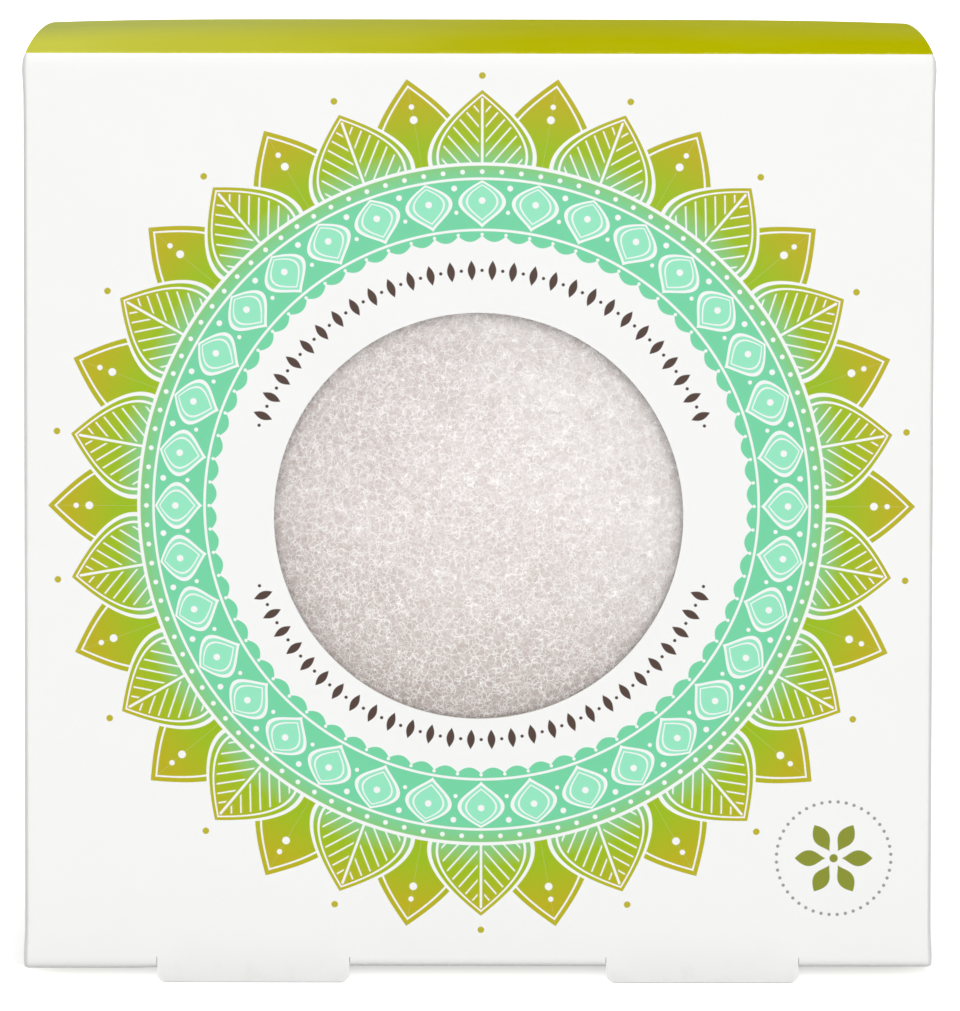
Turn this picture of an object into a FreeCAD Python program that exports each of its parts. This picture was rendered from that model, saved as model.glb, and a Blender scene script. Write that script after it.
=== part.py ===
import FreeCAD, Part
import math
import os

# Boxed konjac facial sponge: a folding carton with a round film window and a domed sponge inside.
# Millimetres. +X is the viewer's right, +Y goes from the front panel to the back panel, +Z is up.
# The origin is the middle of the carton's footprint on the surface that its feet stand on.

V = FreeCAD.Vector

# Sponge
sponge_diameter = 80.0
sponge_thickness = 38.0
sponge_shoulder_radius = 20.0
sponge_back_edge_radius = 7.0
sponge_belt_width = 1.6
sponge_film_gap = 0.4
sponge_floor_gap = 0.3

# Carton board, and the room that the carton leaves around the sponge
board = 0.45
fold_radius = 0.8
side_room = 4.55
back_room = 5.61
head_room = 9.31

# Feet cut out of the bottom flaps, left standing in the plane of the front and back panels
foot_height = 1.9
foot_width = 19.1
foot_edge_inset = 13.15
foot_corner_radius = 1.0
foot_notch_clearance = 0.3

# Window and its film
window_diameter = 40.5
window_drop = 0.35
film_thickness = 0.05
film_corner_radius = 3.0
film_margin = 3.25
film_adhesive_inset = 1.5
film_adhesive_width = 4.0
adhesive_thickness = 0.04

# Lid, bowed upwards, and its tuck flap
lid_rise = 1.6
lid_side_gap = 0.25
tuck_length = 12.0
tuck_corner_radius = 6.0
tuck_side_gap = 1.0
tuck_back_gap = 0.8
tuck_lean_deg = 10.0
tuck_crease_gap = 0.05

# Dust flaps
dust_length = 28.0
dust_corner_radius = 3.0
dust_shoulder = 1.0
dust_back_setback = 2.05
dust_under_lid_gap = 0.3
dust_front_taper_share = 0.5
dust_back_taper_share = 0.14

# Glue flap and seam
glue_flap_width = 12.0
glue_flap_setback = 2.5
glue_flap_taper_share = 0.25
glue_flap_corner_radius = 1.0
seam_edge_inset = 0.3
seam_adhesive_width = 7.0
seam_adhesive_end_gap = 6.0

# Sealed bottom
bottom_outer_edge_gap = 1.0
bottom_inner_edge_gap = 5.0
bottom_flap_side_gap = 0.25
bottom_flap_corner_radius = 2.0
bottom_adhesive_width = 8.0
bottom_adhesive_length = 26.0
bottom_adhesive_spacing = 50.0

# The carton's outer sizes, worked out around the sponge
sponge_radius = sponge_diameter / 2
carton_width = sponge_diameter + 2 * (side_room + board)
window_stack = board + adhesive_thickness + film_thickness
carton_depth = window_stack + sponge_film_gap + sponge_thickness + back_room + board
bottom_stack = 2 * board + adhesive_thickness
panel_height = bottom_stack + sponge_floor_gap + sponge_diameter + head_room + board

# Places that the pieces share
half_width = carton_width / 2
foot_middle_x = half_width - foot_edge_inset - foot_width / 2
front_y = -carton_depth / 2
back_y = carton_depth / 2
bottom_z = foot_height
top_z = foot_height + panel_height
window_z = (bottom_z + top_z) / 2 - window_drop
front_inner_y = front_y + board
back_inner_y = back_y - board
glue_flap_outer_y = back_inner_y - adhesive_thickness
glue_flap_inner_y = glue_flap_outer_y - board
lid_rear_y = back_inner_y - tuck_back_gap
lid_half_width = half_width - lid_side_gap
dust_top_z = top_z - board - dust_under_lid_gap
side_top_z = dust_top_z - board
bottom_inner_low_z = bottom_z + board + adhesive_thickness
bottom_dust_low_z = bottom_inner_low_z + board
side_bottom_z = bottom_dust_low_z + board
film_front_y = front_inner_y + adhesive_thickness
film_ring_inner = window_diameter + 2 * film_adhesive_inset
film_ring_outer = film_ring_inner + 2 * film_adhesive_width


def rounded_outline(corners, to_space):
    """A closed wire through corners (u, v, radius), each rounded by a tangent arc of its radius."""
    count = len(corners)
    stretches = []
    for i in range(count):
        before = V(corners[i - 1][0], corners[i - 1][1], 0)
        here = V(corners[i][0], corners[i][1], 0)
        after = V(corners[(i + 1) % count][0], corners[(i + 1) % count][1], 0)
        radius = corners[i][2]
        if radius <= 0:
            stretches.append((here, None, here))
            continue
        back = (before - here).normalize()
        ahead = (after - here).normalize()
        half_corner = back.getAngle(ahead) / 2
        reach = radius / math.tan(half_corner)
        bisector = (back + ahead).normalize()
        centre = here + bisector * (radius / math.sin(half_corner))
        stretches.append((here + back * reach, centre - bisector * radius, here + ahead * reach))
    edges = []
    for i, (start, middle, end) in enumerate(stretches):
        if middle is not None:
            edges.append(Part.Arc(to_space(start), to_space(middle), to_space(end)).toShape())
        following = stretches[(i + 1) % count][0]
        if (following - end).Length > 0:
            edges.append(Part.LineSegment(to_space(end), to_space(following)).toShape())
    return Part.Wire(edges)


def upright_plate(corners, near_y, thickness):
    """A plate parallel to the front panel: corners are (x, z, radius), from near_y towards the back."""
    wire = rounded_outline(corners, lambda p: V(p.x, near_y, p.y))
    return Part.Face(wire).extrude(V(0, thickness, 0))


def level_plate(corners, low_z, thickness):
    """A horizontal plate: corners are (x, y, radius), from low_z upwards."""
    wire = rounded_outline(corners, lambda p: V(p.x, p.y, low_z))
    return Part.Face(wire).extrude(V(0, 0, thickness))


def mirrored_left(shape):
    """The same piece on the other side of the carton's middle plane."""
    return shape.mirror(V(0, 0, 0), V(1, 0, 0))


def panel_with_feet(left_x, right_x, low_z, high_z, near_y):
    """A front or back panel whose lower edge has two feet with rounded corners."""
    corners = [(left_x, high_z, 0), (left_x, low_z, 0)]
    for middle_x in (-foot_middle_x, foot_middle_x):
        for x, order in ((middle_x - foot_width / 2, 1), (middle_x + foot_width / 2, -1)):
            pair = [(x, low_z, 0), (x, 0, foot_corner_radius)]
            corners += pair[::order]
    corners += [(right_x, low_z, 0), (right_x, high_z, 0)]
    return upright_plate(corners, near_y, board)


def window_cylinder(diameter, near_y, length):
    """A cylinder on the window's axis."""
    return Part.makeCylinder(diameter / 2, length, V(0, near_y, window_z), V(0, 1, 0))


def make_front_panel():
    """The printed front panel with its round window and two feet."""
    edge_x = half_width - fold_radius
    panel = panel_with_feet(-edge_x, edge_x, bottom_z + board, top_z - board, front_y)
    return panel.cut(window_cylinder(window_diameter, front_y - board, 3 * board))


def make_back_panel():
    """The back panel: folded from the left side, with a cut edge over the seam on the right."""
    left_x = -(half_width - fold_radius)
    right_x = half_width - seam_edge_inset
    return panel_with_feet(left_x, right_x, bottom_dust_low_z, top_z - board, back_inner_y)


def make_side_panel(rear_y):
    """The right side panel with a rolled fold at each end; rear_y is the rear fold's outer face."""
    inner_radius = fold_radius - board
    fold_x = half_width - fold_radius
    fold_front = front_y + fold_radius
    fold_rear = rear_y - fold_radius
    diagonal = math.sqrt(2) / 2

    def at(x, y):
        return V(x, y, side_bottom_z)

    edges = [
        Part.Arc(
            at(fold_x, front_y),
            at(fold_x + fold_radius * diagonal, fold_front - fold_radius * diagonal),
            at(half_width, fold_front),
        ).toShape(),
        Part.LineSegment(at(half_width, fold_front), at(half_width, fold_rear)).toShape(),
        Part.Arc(
            at(half_width, fold_rear),
            at(fold_x + fold_radius * diagonal, fold_rear + fold_radius * diagonal),
            at(fold_x, rear_y),
        ).toShape(),
        Part.LineSegment(at(fold_x, rear_y), at(fold_x, rear_y - board)).toShape(),
        Part.Arc(
            at(fold_x, rear_y - board),
            at(fold_x + inner_radius * diagonal, fold_rear + inner_radius * diagonal),
            at(fold_x + inner_radius, fold_rear),
        ).toShape(),
        Part.LineSegment(
            at(fold_x + inner_radius, fold_rear), at(fold_x + inner_radius, fold_front)
        ).toShape(),
        Part.Arc(
            at(fold_x + inner_radius, fold_front),
            at(fold_x + inner_radius * diagonal, fold_front - inner_radius * diagonal),
            at(fold_x, front_inner_y),
        ).toShape(),
        Part.LineSegment(at(fold_x, front_inner_y), at(fold_x, front_y)).toShape(),
    ]
    height = side_top_z - side_bottom_z
    return Part.Face(Part.Wire(edges)).extrude(V(0, 0, height))


def make_glue_flap():
    """The glue flap, folded from the right side panel and lying inside the back panel."""
    root_x = half_width - fold_radius
    tip_x = root_x - glue_flap_width
    low_z = side_bottom_z + glue_flap_setback
    high_z = side_top_z - glue_flap_setback
    taper = glue_flap_width * glue_flap_taper_share
    corners = [
        (root_x, low_z, 0),
        (root_x, high_z, 0),
        (tip_x, high_z - taper, glue_flap_corner_radius),
        (tip_x, low_z + taper, glue_flap_corner_radius),
    ]
    return upright_plate(corners, glue_flap_inner_y, board)


def make_seam_adhesive():
    """The strip of glue between the glue flap and the back panel."""
    middle_x = half_width - fold_radius - glue_flap_width / 2
    low_z = side_bottom_z + seam_adhesive_end_gap
    high_z = side_top_z - seam_adhesive_end_gap
    left_x = middle_x - seam_adhesive_width / 2
    right_x = middle_x + seam_adhesive_width / 2
    corners = [(left_x, low_z, 0), (right_x, low_z, 0), (right_x, high_z, 0), (left_x, high_z, 0)]
    return upright_plate(corners, glue_flap_outer_y, adhesive_thickness)


def make_window_film():
    """The clear film patch behind the window."""
    half = film_ring_outer / 2 + film_margin
    corners = []
    for side_x, side_z in ((-1, -1), (1, -1), (1, 1), (-1, 1)):
        corners.append((side_x * half, window_z + side_z * half, film_corner_radius))
    return upright_plate(corners, film_front_y, film_thickness)


def make_film_adhesive():
    """The ring of glue that holds the film to the front panel's inside."""
    ring = window_cylinder(film_ring_outer, front_inner_y, adhesive_thickness)
    return ring.cut(window_cylinder(film_ring_inner, front_inner_y - board, 3 * board))


def lid_arc():
    """Radius, centre height and half angle of the lid's bow, whose chord lies at the crease height."""
    half_chord = (lid_rear_y - front_y) / 2
    radius = (half_chord**2 + lid_rise**2) / (2 * lid_rise)
    centre_z = top_z + lid_rise - radius
    return radius, centre_z, math.asin(half_chord / radius)


def make_lid_panel():
    """The lid: one board bowed upwards from its crease on the front panel to the tuck crease."""
    radius, centre_z, half_angle = lid_arc()
    middle_y = (front_y + lid_rear_y) / 2

    def on_arc(r, angle):
        return V(-lid_half_width, middle_y + r * math.sin(angle), centre_z + r * math.cos(angle))

    inner = radius - board
    edges = [
        Part.Arc(on_arc(radius, -half_angle), on_arc(radius, 0), on_arc(radius, half_angle)).toShape(),
        Part.LineSegment(on_arc(radius, half_angle), on_arc(inner, half_angle)).toShape(),
        Part.Arc(on_arc(inner, half_angle), on_arc(inner, 0), on_arc(inner, -half_angle)).toShape(),
        Part.LineSegment(on_arc(inner, -half_angle), on_arc(radius, -half_angle)).toShape(),
    ]
    return Part.Face(Part.Wire(edges)).extrude(V(2 * lid_half_width, 0, 0))


def make_tuck_flap():
    """The flap on the lid's rear crease, leaning inwards so that its tip clears the back panel."""
    half = lid_half_width - tuck_side_gap
    root_z = top_z - board - tuck_crease_gap
    tip_z = top_z - tuck_length
    corners = [
        (-half, root_z, 0),
        (half, root_z, 0),
        (half, tip_z, tuck_corner_radius),
        (-half, tip_z, tuck_corner_radius),
    ]
    flap = upright_plate(corners, lid_rear_y - board, board)
    flap.rotate(V(0, lid_rear_y, top_z), V(1, 0, 0), -tuck_lean_deg)
    return flap


def make_dust_flap(low_z):
    """The right dust flap at low_z, tapered towards its tip so that it clears the lid as both turn."""
    tip_x = half_width - dust_length
    front_root_y = front_inner_y + dust_shoulder
    back_root_y = back_inner_y - dust_back_setback
    corners = [
        (half_width, front_root_y, 0),
        (half_width, back_root_y, 0),
        (tip_x, back_root_y - dust_length * dust_back_taper_share, dust_corner_radius),
        (tip_x, front_root_y + dust_length * dust_front_taper_share, dust_corner_radius),
    ]
    return level_plate(corners, low_z, board)


def foot_notches(edge_y, low_z, inward):
    """The two holes that the feet leave in a bottom flap, cut from the flap's crease at edge_y."""
    depth = (foot_height + foot_notch_clearance) * inward
    outside = edge_y - board * inward
    notches = []
    for middle_x in (-foot_middle_x, foot_middle_x):
        left_x = middle_x - foot_width / 2 - foot_notch_clearance
        right_x = middle_x + foot_width / 2 + foot_notch_clearance
        corners = [
            (left_x, outside, 0),
            (right_x, outside, 0),
            (right_x, edge_y + depth, foot_corner_radius),
            (left_x, edge_y + depth, foot_corner_radius),
        ]
        notches.append(level_plate(corners, low_z - board, 3 * board))
    return Part.makeCompound(notches)


def make_bottom_outer_flap():
    """The outer bottom flap, creased at the front panel's lower edge."""
    half = half_width - bottom_flap_side_gap
    far_y = back_y - bottom_outer_edge_gap
    corners = [
        (-half, front_y, 0),
        (half, front_y, 0),
        (half, far_y, bottom_flap_corner_radius),
        (-half, far_y, bottom_flap_corner_radius),
    ]
    return level_plate(corners, bottom_z, board).cut(foot_notches(front_y, bottom_z, 1))


def make_bottom_inner_flap():
    """The inner bottom flap, creased at the back panel's lower edge and glued to the outer one."""
    half = half_width - fold_radius
    far_y = front_y + bottom_inner_edge_gap
    corners = [
        (-half, back_y, 0),
        (half, back_y, 0),
        (half, far_y, bottom_flap_corner_radius),
        (-half, far_y, bottom_flap_corner_radius),
    ]
    flap = level_plate(corners, bottom_inner_low_z, board)
    return flap.cut(foot_notches(back_y, bottom_inner_low_z, -1))


def make_bottom_adhesive():
    """The two stripes of glue between the bottom flaps."""
    stripes = []
    for middle_x in (-bottom_adhesive_spacing / 2, bottom_adhesive_spacing / 2):
        left_x = middle_x - bottom_adhesive_width / 2
        right_x = middle_x + bottom_adhesive_width / 2
        near_y = -bottom_adhesive_length / 2
        far_y = bottom_adhesive_length / 2
        corners = [(left_x, near_y, 0), (right_x, near_y, 0), (right_x, far_y, 0), (left_x, far_y, 0)]
        stripes.append(level_plate(corners, bottom_z + board, adhesive_thickness))
    return Part.makeCompound(stripes)


def make_sponge():
    """The domed sponge: a crown, a rounded shoulder, a soft back edge and a flat back."""
    half = sponge_radius
    apex_y = film_front_y + film_thickness + sponge_film_gap
    back = apex_y + sponge_thickness
    middle_z = bottom_dust_low_z + sponge_floor_gap + half
    edge_r = half - sponge_back_edge_radius
    edge_y = back - sponge_back_edge_radius
    shoulder_r = half - sponge_shoulder_radius
    shoulder_y = edge_y - sponge_belt_width
    rise = shoulder_y - apex_y
    spare_rise = rise - sponge_shoulder_radius
    crown_radius = (rise**2 + shoulder_r**2 - sponge_shoulder_radius**2) / (2 * spare_rise)
    crown_centre_y = apex_y + crown_radius
    meet = math.atan2(shoulder_r, crown_centre_y - shoulder_y)
    diagonal = math.sqrt(2) / 2

    def at(r, y):
        return V(r, y, middle_z)

    def crown(angle):
        return at(crown_radius * math.sin(angle), crown_centre_y - crown_radius * math.cos(angle))

    def shoulder(angle):
        r = sponge_shoulder_radius
        return at(shoulder_r + r * math.sin(angle), shoulder_y - r * math.cos(angle))

    quarter = math.pi / 2
    edges = [
        Part.Arc(crown(0), crown(meet / 2), crown(meet)).toShape(),
        Part.Arc(crown(meet), shoulder((meet + quarter) / 2), shoulder(quarter)).toShape(),
        Part.LineSegment(shoulder(quarter), at(half, edge_y)).toShape(),
        Part.Arc(
            at(half, edge_y),
            at(
                edge_r + sponge_back_edge_radius * diagonal,
                edge_y + sponge_back_edge_radius * diagonal,
            ),
            at(edge_r, back),
        ).toShape(),
        Part.LineSegment(at(edge_r, back), at(0, back)).toShape(),
        Part.LineSegment(at(0, back), at(0, apex_y)).toShape(),
    ]
    face = Part.Face(Part.Wire(edges))
    return face.revolve(V(0, 0, middle_z), V(0, 1, 0), 360)


def all_pieces():
    """Every piece of the boxed sponge by name."""
    top_dust = make_dust_flap(side_top_z)
    bottom_dust = make_dust_flap(bottom_dust_low_z)
    return {
        "front_panel": make_front_panel(),
        "left_side_panel": mirrored_left(make_side_panel(back_y)),
        "right_side_panel": make_side_panel(glue_flap_outer_y),
        "back_panel": make_back_panel(),
        "glue_flap": make_glue_flap(),
        "seam_adhesive": make_seam_adhesive(),
        "window_film": make_window_film(),
        "film_adhesive": make_film_adhesive(),
        "lid_panel": make_lid_panel(),
        "tuck_flap": make_tuck_flap(),
        "left_dust_flap": mirrored_left(top_dust),
        "right_dust_flap": top_dust,
        "bottom_outer_flap": make_bottom_outer_flap(),
        "bottom_inner_flap": make_bottom_inner_flap(),
        "bottom_left_dust_flap": mirrored_left(bottom_dust),
        "bottom_right_dust_flap": bottom_dust,
        "bottom_adhesive": make_bottom_adhesive(),
        "sponge": make_sponge(),
    }


os.makedirs("parts", exist_ok=True)
for name, shape in all_pieces().items():
    shape.exportStep(os.path.join("parts", name + ".step"))
    print(name, "valid" if shape.isValid() else "NOT VALID", len(shape.Solids), round(shape.Volume, 3))
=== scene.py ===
"""Boxed konjac sponge: the looks of the carton, its film window and the sponge inside.

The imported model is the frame. Every size is taken from its nodes' boxes or named in a class.
"""
import logging
from collections.abc import Callable
from dataclasses import dataclass, field
from enum import Enum
from math import atan2, ceil, cos, hypot, pi, radians, sin, sqrt

import bmesh
import bpy
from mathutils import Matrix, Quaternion, Vector, noise
from mathutils.geometry import delaunay_2d_cdt


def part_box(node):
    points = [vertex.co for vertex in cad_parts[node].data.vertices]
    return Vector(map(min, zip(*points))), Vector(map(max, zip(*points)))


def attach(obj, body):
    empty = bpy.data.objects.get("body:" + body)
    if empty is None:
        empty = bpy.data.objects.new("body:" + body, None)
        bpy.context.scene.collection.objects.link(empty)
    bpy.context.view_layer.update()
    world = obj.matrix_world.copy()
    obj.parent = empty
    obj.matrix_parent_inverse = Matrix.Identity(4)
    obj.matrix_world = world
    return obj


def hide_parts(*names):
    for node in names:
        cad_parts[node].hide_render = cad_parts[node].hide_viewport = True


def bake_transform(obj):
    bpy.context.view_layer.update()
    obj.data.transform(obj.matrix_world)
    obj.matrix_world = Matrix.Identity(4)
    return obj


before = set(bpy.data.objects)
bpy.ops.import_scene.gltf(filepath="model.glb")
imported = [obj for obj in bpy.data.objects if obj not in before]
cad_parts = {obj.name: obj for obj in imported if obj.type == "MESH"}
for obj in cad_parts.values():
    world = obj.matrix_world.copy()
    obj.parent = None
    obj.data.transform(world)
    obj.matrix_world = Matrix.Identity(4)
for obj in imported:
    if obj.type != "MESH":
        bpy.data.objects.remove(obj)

REPORT = logging.getLogger("boxed_sponge")
MM = 0.001
Colour = tuple[float, float, float, float]


def tone(red: float, green: float, blue: float) -> Colour:
    """Give the linear colour of a tone on the 0 to 255 display scale.

    Args:
        red: Red share of the tone.
        green: Green share of the tone.
        blue: Blue share of the tone.

    Returns:
        The colour that a shader takes, with an alpha of one.
    """
    shares = [value / 255 for value in (red, green, blue)]
    linear = [share / 12.92 if share <= 0.04045 else ((share + 0.055) / 1.055) ** 2.4 for share in shares]
    return (linear[0], linear[1], linear[2], 1.0)


class Wall(Enum):
    """The vertical walls of the carton."""

    FRONT = "front_panel"
    BACK = "back_panel"
    LEFT = "left_side_panel"
    RIGHT = "right_side_panel"


@dataclass(frozen=True)
class Blank:
    """Sizes of the folded carton, in metres."""

    front: float
    back: float
    half_width: float
    bottom: float
    top: float
    wall_top: float
    board: float
    fold: float
    foot_middle: float
    foot_half: float
    foot_corner: float
    window_middle: Vector
    window_radius: float

    @classmethod
    def from_frame(cls) -> "Blank":
        """Read the carton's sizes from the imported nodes.

        Returns:
            The sizes that all board pieces share.
        """
        front_low, front_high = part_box("front_panel")
        _, back_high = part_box("back_panel")
        side_low, side_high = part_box("left_side_panel")
        flap_low, flap_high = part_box("bottom_outer_flap")
        film_low, film_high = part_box("window_film")
        board = flap_high.z - flap_low.z
        middle = (film_low + film_high) / 2
        return cls(
            front=front_low.y,
            back=back_high.y,
            half_width=-side_low.x,
            bottom=flap_low.z,
            top=front_high.z + board,
            wall_top=side_high.z,
            board=board,
            fold=-side_low.x + front_low.x,
            foot_middle=22.3 * MM,
            foot_half=9.55 * MM,
            foot_corner=1.0 * MM,
            window_middle=Vector((middle.x, front_low.y, middle.z)),
            window_radius=20.25 * MM,
        )

    @property
    def flat_half(self) -> float:
        """Half the flat width of the front between its two folds."""
        return self.half_width - self.fold

    @property
    def roll_start(self) -> float:
        """Height at which the walls begin to roll into the bottom."""
        return self.bottom + self.fold


@dataclass
class Sheet:
    """One face of a board: its points, its faces and the finish number of each face."""

    points: list[Vector]
    faces: list[tuple[int, ...]]
    finish_numbers: list[int] = field(default_factory=list)

    @classmethod
    def from_rows(
        cls,
        rows: list[list[Vector]],
        finish_of: Callable[[int, int], int] = lambda row, column: 0,
        flip: bool = False,
        is_hole: Callable[[int, int], bool] = lambda row, column: False,
    ) -> "Sheet":
        """Span a net of quads over rows of points.

        Args:
            rows: Points of the net, row by row, all rows equally long.
            finish_of: Finish number of the quad at a row and a column.
            flip: Turns the faces to the other side.
            is_hole: Says which quads are left out.

        Returns:
            The sheet.
        """
        width = len(rows[0])
        faces, numbers = [], []
        for row in range(len(rows) - 1):
            for column in range(width - 1):
                if is_hole(row, column):
                    continue
                corner = row * width + column
                quad = (corner, corner + 1, corner + width + 1, corner + width)
                faces.append(quad[::-1] if flip else quad)
                numbers.append(finish_of(row, column))
        used = sorted({index for face in faces for index in face})
        place = {index: number for number, index in enumerate(used)}
        points = [rows[index // width][index % width] for index in used]
        return cls(points, [tuple(place[index] for index in face) for face in faces], numbers)


def spread(first: float, last: float, step: float) -> list[float]:
    """Divide a length into even parts.

    Args:
        first: Start of the length.
        last: End of the length.
        step: Longest part allowed.

    Returns:
        The places of the divisions, ends included.
    """
    count = max(1, ceil(abs(last - first) / step))
    return [first + (last - first) * number / count for number in range(count + 1)]


def rounded_turn(before: Vector, corner: Vector, after: Vector, parts: int = 8) -> list[Vector]:
    """Round a corner with a smooth curve that leaves and meets its two sides.

    Args:
        before: Point on the first side where the curve begins.
        corner: The corner itself.
        after: Point on the second side where the curve ends.
        parts: Number of straight parts.

    Returns:
        The points of the curve, ends included.
    """
    points = []
    for number in range(parts + 1):
        share = number / parts
        points.append(before * (1 - share) ** 2 + corner * 2 * share * (1 - share) + after * share**2)
    return points


def settle(piece: bpy.types.Object) -> None:
    """Turn a piece's modifiers into its plain mesh.

    Args:
        piece: The object whose modifiers are applied.
    """
    graph = bpy.context.evaluated_depsgraph_get()
    final = piece.evaluated_get(graph)
    mesh = bpy.data.meshes.new_from_object(final, preserve_all_data_layers=True, depsgraph=graph)
    piece.modifiers.clear()
    piece.data = mesh
    mesh.name = piece.name


@dataclass(frozen=True)
class Board:
    """Turns sheets into closed board pieces of one thickness, all splayed a little towards the floor."""

    thickness: float
    inner: bpy.types.Material
    edge: bpy.types.Material
    splay: float = 0.20 * MM
    splay_height: float = 93 * MM
    splay_width: float = 45 * MM
    sharp_angle: float = radians(42)

    def splayed(self, point: Vector) -> Vector:
        """Move a point of the upright carton to its place in the splayed one."""
        share = 1 - 2 * point.z / self.splay_height
        return Vector((point.x * (1 + self.splay / self.splay_width * share), point.y, point.z))

    def piece(self, name: str, sheet: Sheet, *outer: bpy.types.Material) -> bpy.types.Object:
        """Make a board piece from its outer face.

        Args:
            name: Name of the piece.
            sheet: Its outer face.
            outer: Finishes of the outer face, by finish number.

        Returns:
            The piece, with a plain mesh.
        """
        mesh = bpy.data.meshes.new(name)
        mesh.from_pydata([tuple(self.splayed(point)) for point in sheet.points], [], sheet.faces)
        for finish in (*outer, *[self.inner] * len(outer), *[self.edge] * len(outer)):
            mesh.materials.append(finish)
        if sheet.finish_numbers:
            mesh.polygons.foreach_set("material_index", sheet.finish_numbers)
        mesh.shade_smooth()
        piece = bpy.data.objects.new(name, mesh)
        bpy.context.scene.collection.objects.link(piece)
        shell = piece.modifiers.new("thickness", "SOLIDIFY")
        shell.thickness = self.thickness
        shell.offset = -1.0
        shell.use_even_offset = True
        shell.use_quality_normals = True
        shell.material_offset = len(outer)
        shell.material_offset_rim = 2 * len(outer)
        settle(piece)
        piece.data.set_sharp_from_angle(angle=self.sharp_angle)
        return piece


def dress(piece: bpy.types.Object, slot: str, body: str, *nodes: str) -> bpy.types.Object:
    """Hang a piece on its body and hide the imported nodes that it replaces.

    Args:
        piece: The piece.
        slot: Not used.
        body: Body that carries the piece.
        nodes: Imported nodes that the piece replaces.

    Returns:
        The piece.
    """
    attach(piece, body)
    if nodes:
        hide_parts(*nodes)
    REPORT.info("%s rides on %s", piece.name, body)
    return piece


class Field:
    """A value that changes over a surface, held as a socket of a node tree."""

    def __init__(self, tree: bpy.types.NodeTree, socket: bpy.types.NodeSocket) -> None:
        """Hold a socket.

        Args:
            tree: The tree that the socket belongs to.
            socket: The output that gives the value.
        """
        self.tree = tree
        self.socket = socket

    def reckon(self, operation: str, *others: "Field | float", clamp: bool = False) -> "Field":
        """Work out a new field from this one and others.

        Args:
            operation: Name of the sum.
            others: Fields or numbers that it takes after this one.
            clamp: Keeps the result between zero and one.

        Returns:
            The new field.
        """
        node = self.tree.nodes.new("ShaderNodeMath")
        node.operation = operation
        node.use_clamp = clamp
        for number, value in enumerate((self, *others)):
            if isinstance(value, Field):
                self.tree.links.new(value.socket, node.inputs[number])
            else:
                node.inputs[number].default_value = value
        return Field(self.tree, node.outputs[0])

    def __add__(self, other: "Field | float") -> "Field":
        """Add."""
        return self.reckon("ADD", other)

    def __sub__(self, other: "Field | float") -> "Field":
        """Take away."""
        return self.reckon("SUBTRACT", other)

    def __rsub__(self, other: float) -> "Field":
        """Take this field away from a number."""
        return self.reckon("MULTIPLY_ADD", -1.0, other)

    def __mul__(self, other: "Field | float") -> "Field":
        """Multiply."""
        return self.reckon("MULTIPLY", other)

    def __truediv__(self, other: "Field | float") -> "Field":
        """Divide."""
        return self.reckon("DIVIDE", other)

    def __abs__(self) -> "Field":
        """Drop the sign."""
        return self.reckon("ABSOLUTE")

    def squared(self) -> "Field":
        """Multiply by itself."""
        return self.reckon("MULTIPLY", self)

    def cover(self, softness: float) -> "Field":
        """Turn a depth inside a shape into a mask with a soft edge."""
        return self.reckon("DIVIDE", softness, clamp=True)

    def ramp(self, low: float, high: float) -> "Field":
        """Rise from zero at low to one at high."""
        return (self - low).reckon("DIVIDE", high - low, clamp=True)


def object_place(tree: bpy.types.NodeTree) -> bpy.types.NodeSocket:
    """Give the object's own coordinates."""
    return tree.nodes.new("ShaderNodeTexCoord").outputs["Object"]


def coordinates(tree: bpy.types.NodeTree) -> tuple[Field, ...]:
    """Split the object's own coordinates.

    Args:
        tree: The tree that takes the nodes.

    Returns:
        The places across, in depth and up, in metres.
    """
    split = tree.nodes.new("ShaderNodeSeparateXYZ")
    tree.links.new(object_place(tree), split.inputs[0])
    return tuple(Field(tree, socket) for socket in split.outputs)


def mixed(share: Field, first: bpy.types.NodeSocket, second: bpy.types.NodeSocket) -> bpy.types.NodeSocket:
    """Mix two shaders.

    Args:
        share: How much of the second shader shows.
        first: The first shader.
        second: The second shader.

    Returns:
        The mixed shader.
    """
    node = share.tree.nodes.new("ShaderNodeMixShader")
    for socket, place in zip((share.socket, first, second), node.inputs):
        share.tree.links.new(socket, place)
    return node.outputs[0]


def sees_background(tree: bpy.types.NodeTree) -> Field:
    """Mask the rays that see the white background: the camera's and those that gloss and film pass on.

    Args:
        tree: The tree that takes the nodes.

    Returns:
        The mask.
    """
    path = tree.nodes.new("ShaderNodeLightPath")
    glossy, passed = (Field(tree, path.outputs[name]) for name in ("Is Glossy Ray", "Is Transmission Ray"))
    return Field(tree, path.outputs["Is Camera Ray"]).reckon("MAXIMUM", glossy).reckon("MAXIMUM", passed)


class Palette:
    """Lays colours over each other in one node tree."""

    def __init__(self, tree: bpy.types.NodeTree, ground: Colour) -> None:
        """Start from a plain ground.

        Args:
            tree: The tree that holds the nodes.
            ground: Colour of the ground.
        """
        self.tree = tree
        self.latest: bpy.types.NodeSocket | Colour = ground

    def lay(self, paint: Colour | bpy.types.NodeSocket, mask: Field | float, mode: str = "MIX") -> None:
        """Lay a colour over what is there.

        Args:
            paint: The colour, or a socket that gives it.
            mask: Where it goes, or how much of it everywhere.
            mode: How it mixes.
        """
        node = self.tree.nodes.new("ShaderNodeMix")
        node.data_type = "RGBA"
        node.blend_type = mode
        mask = mask.socket if isinstance(mask, Field) else mask
        for number, value in ((0, mask), (6, self.latest), (7, paint)):
            if isinstance(value, bpy.types.NodeSocket):
                self.tree.links.new(value, node.inputs[number])
            else:
                node.inputs[number].default_value = value
        self.latest = node.outputs[2]


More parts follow.
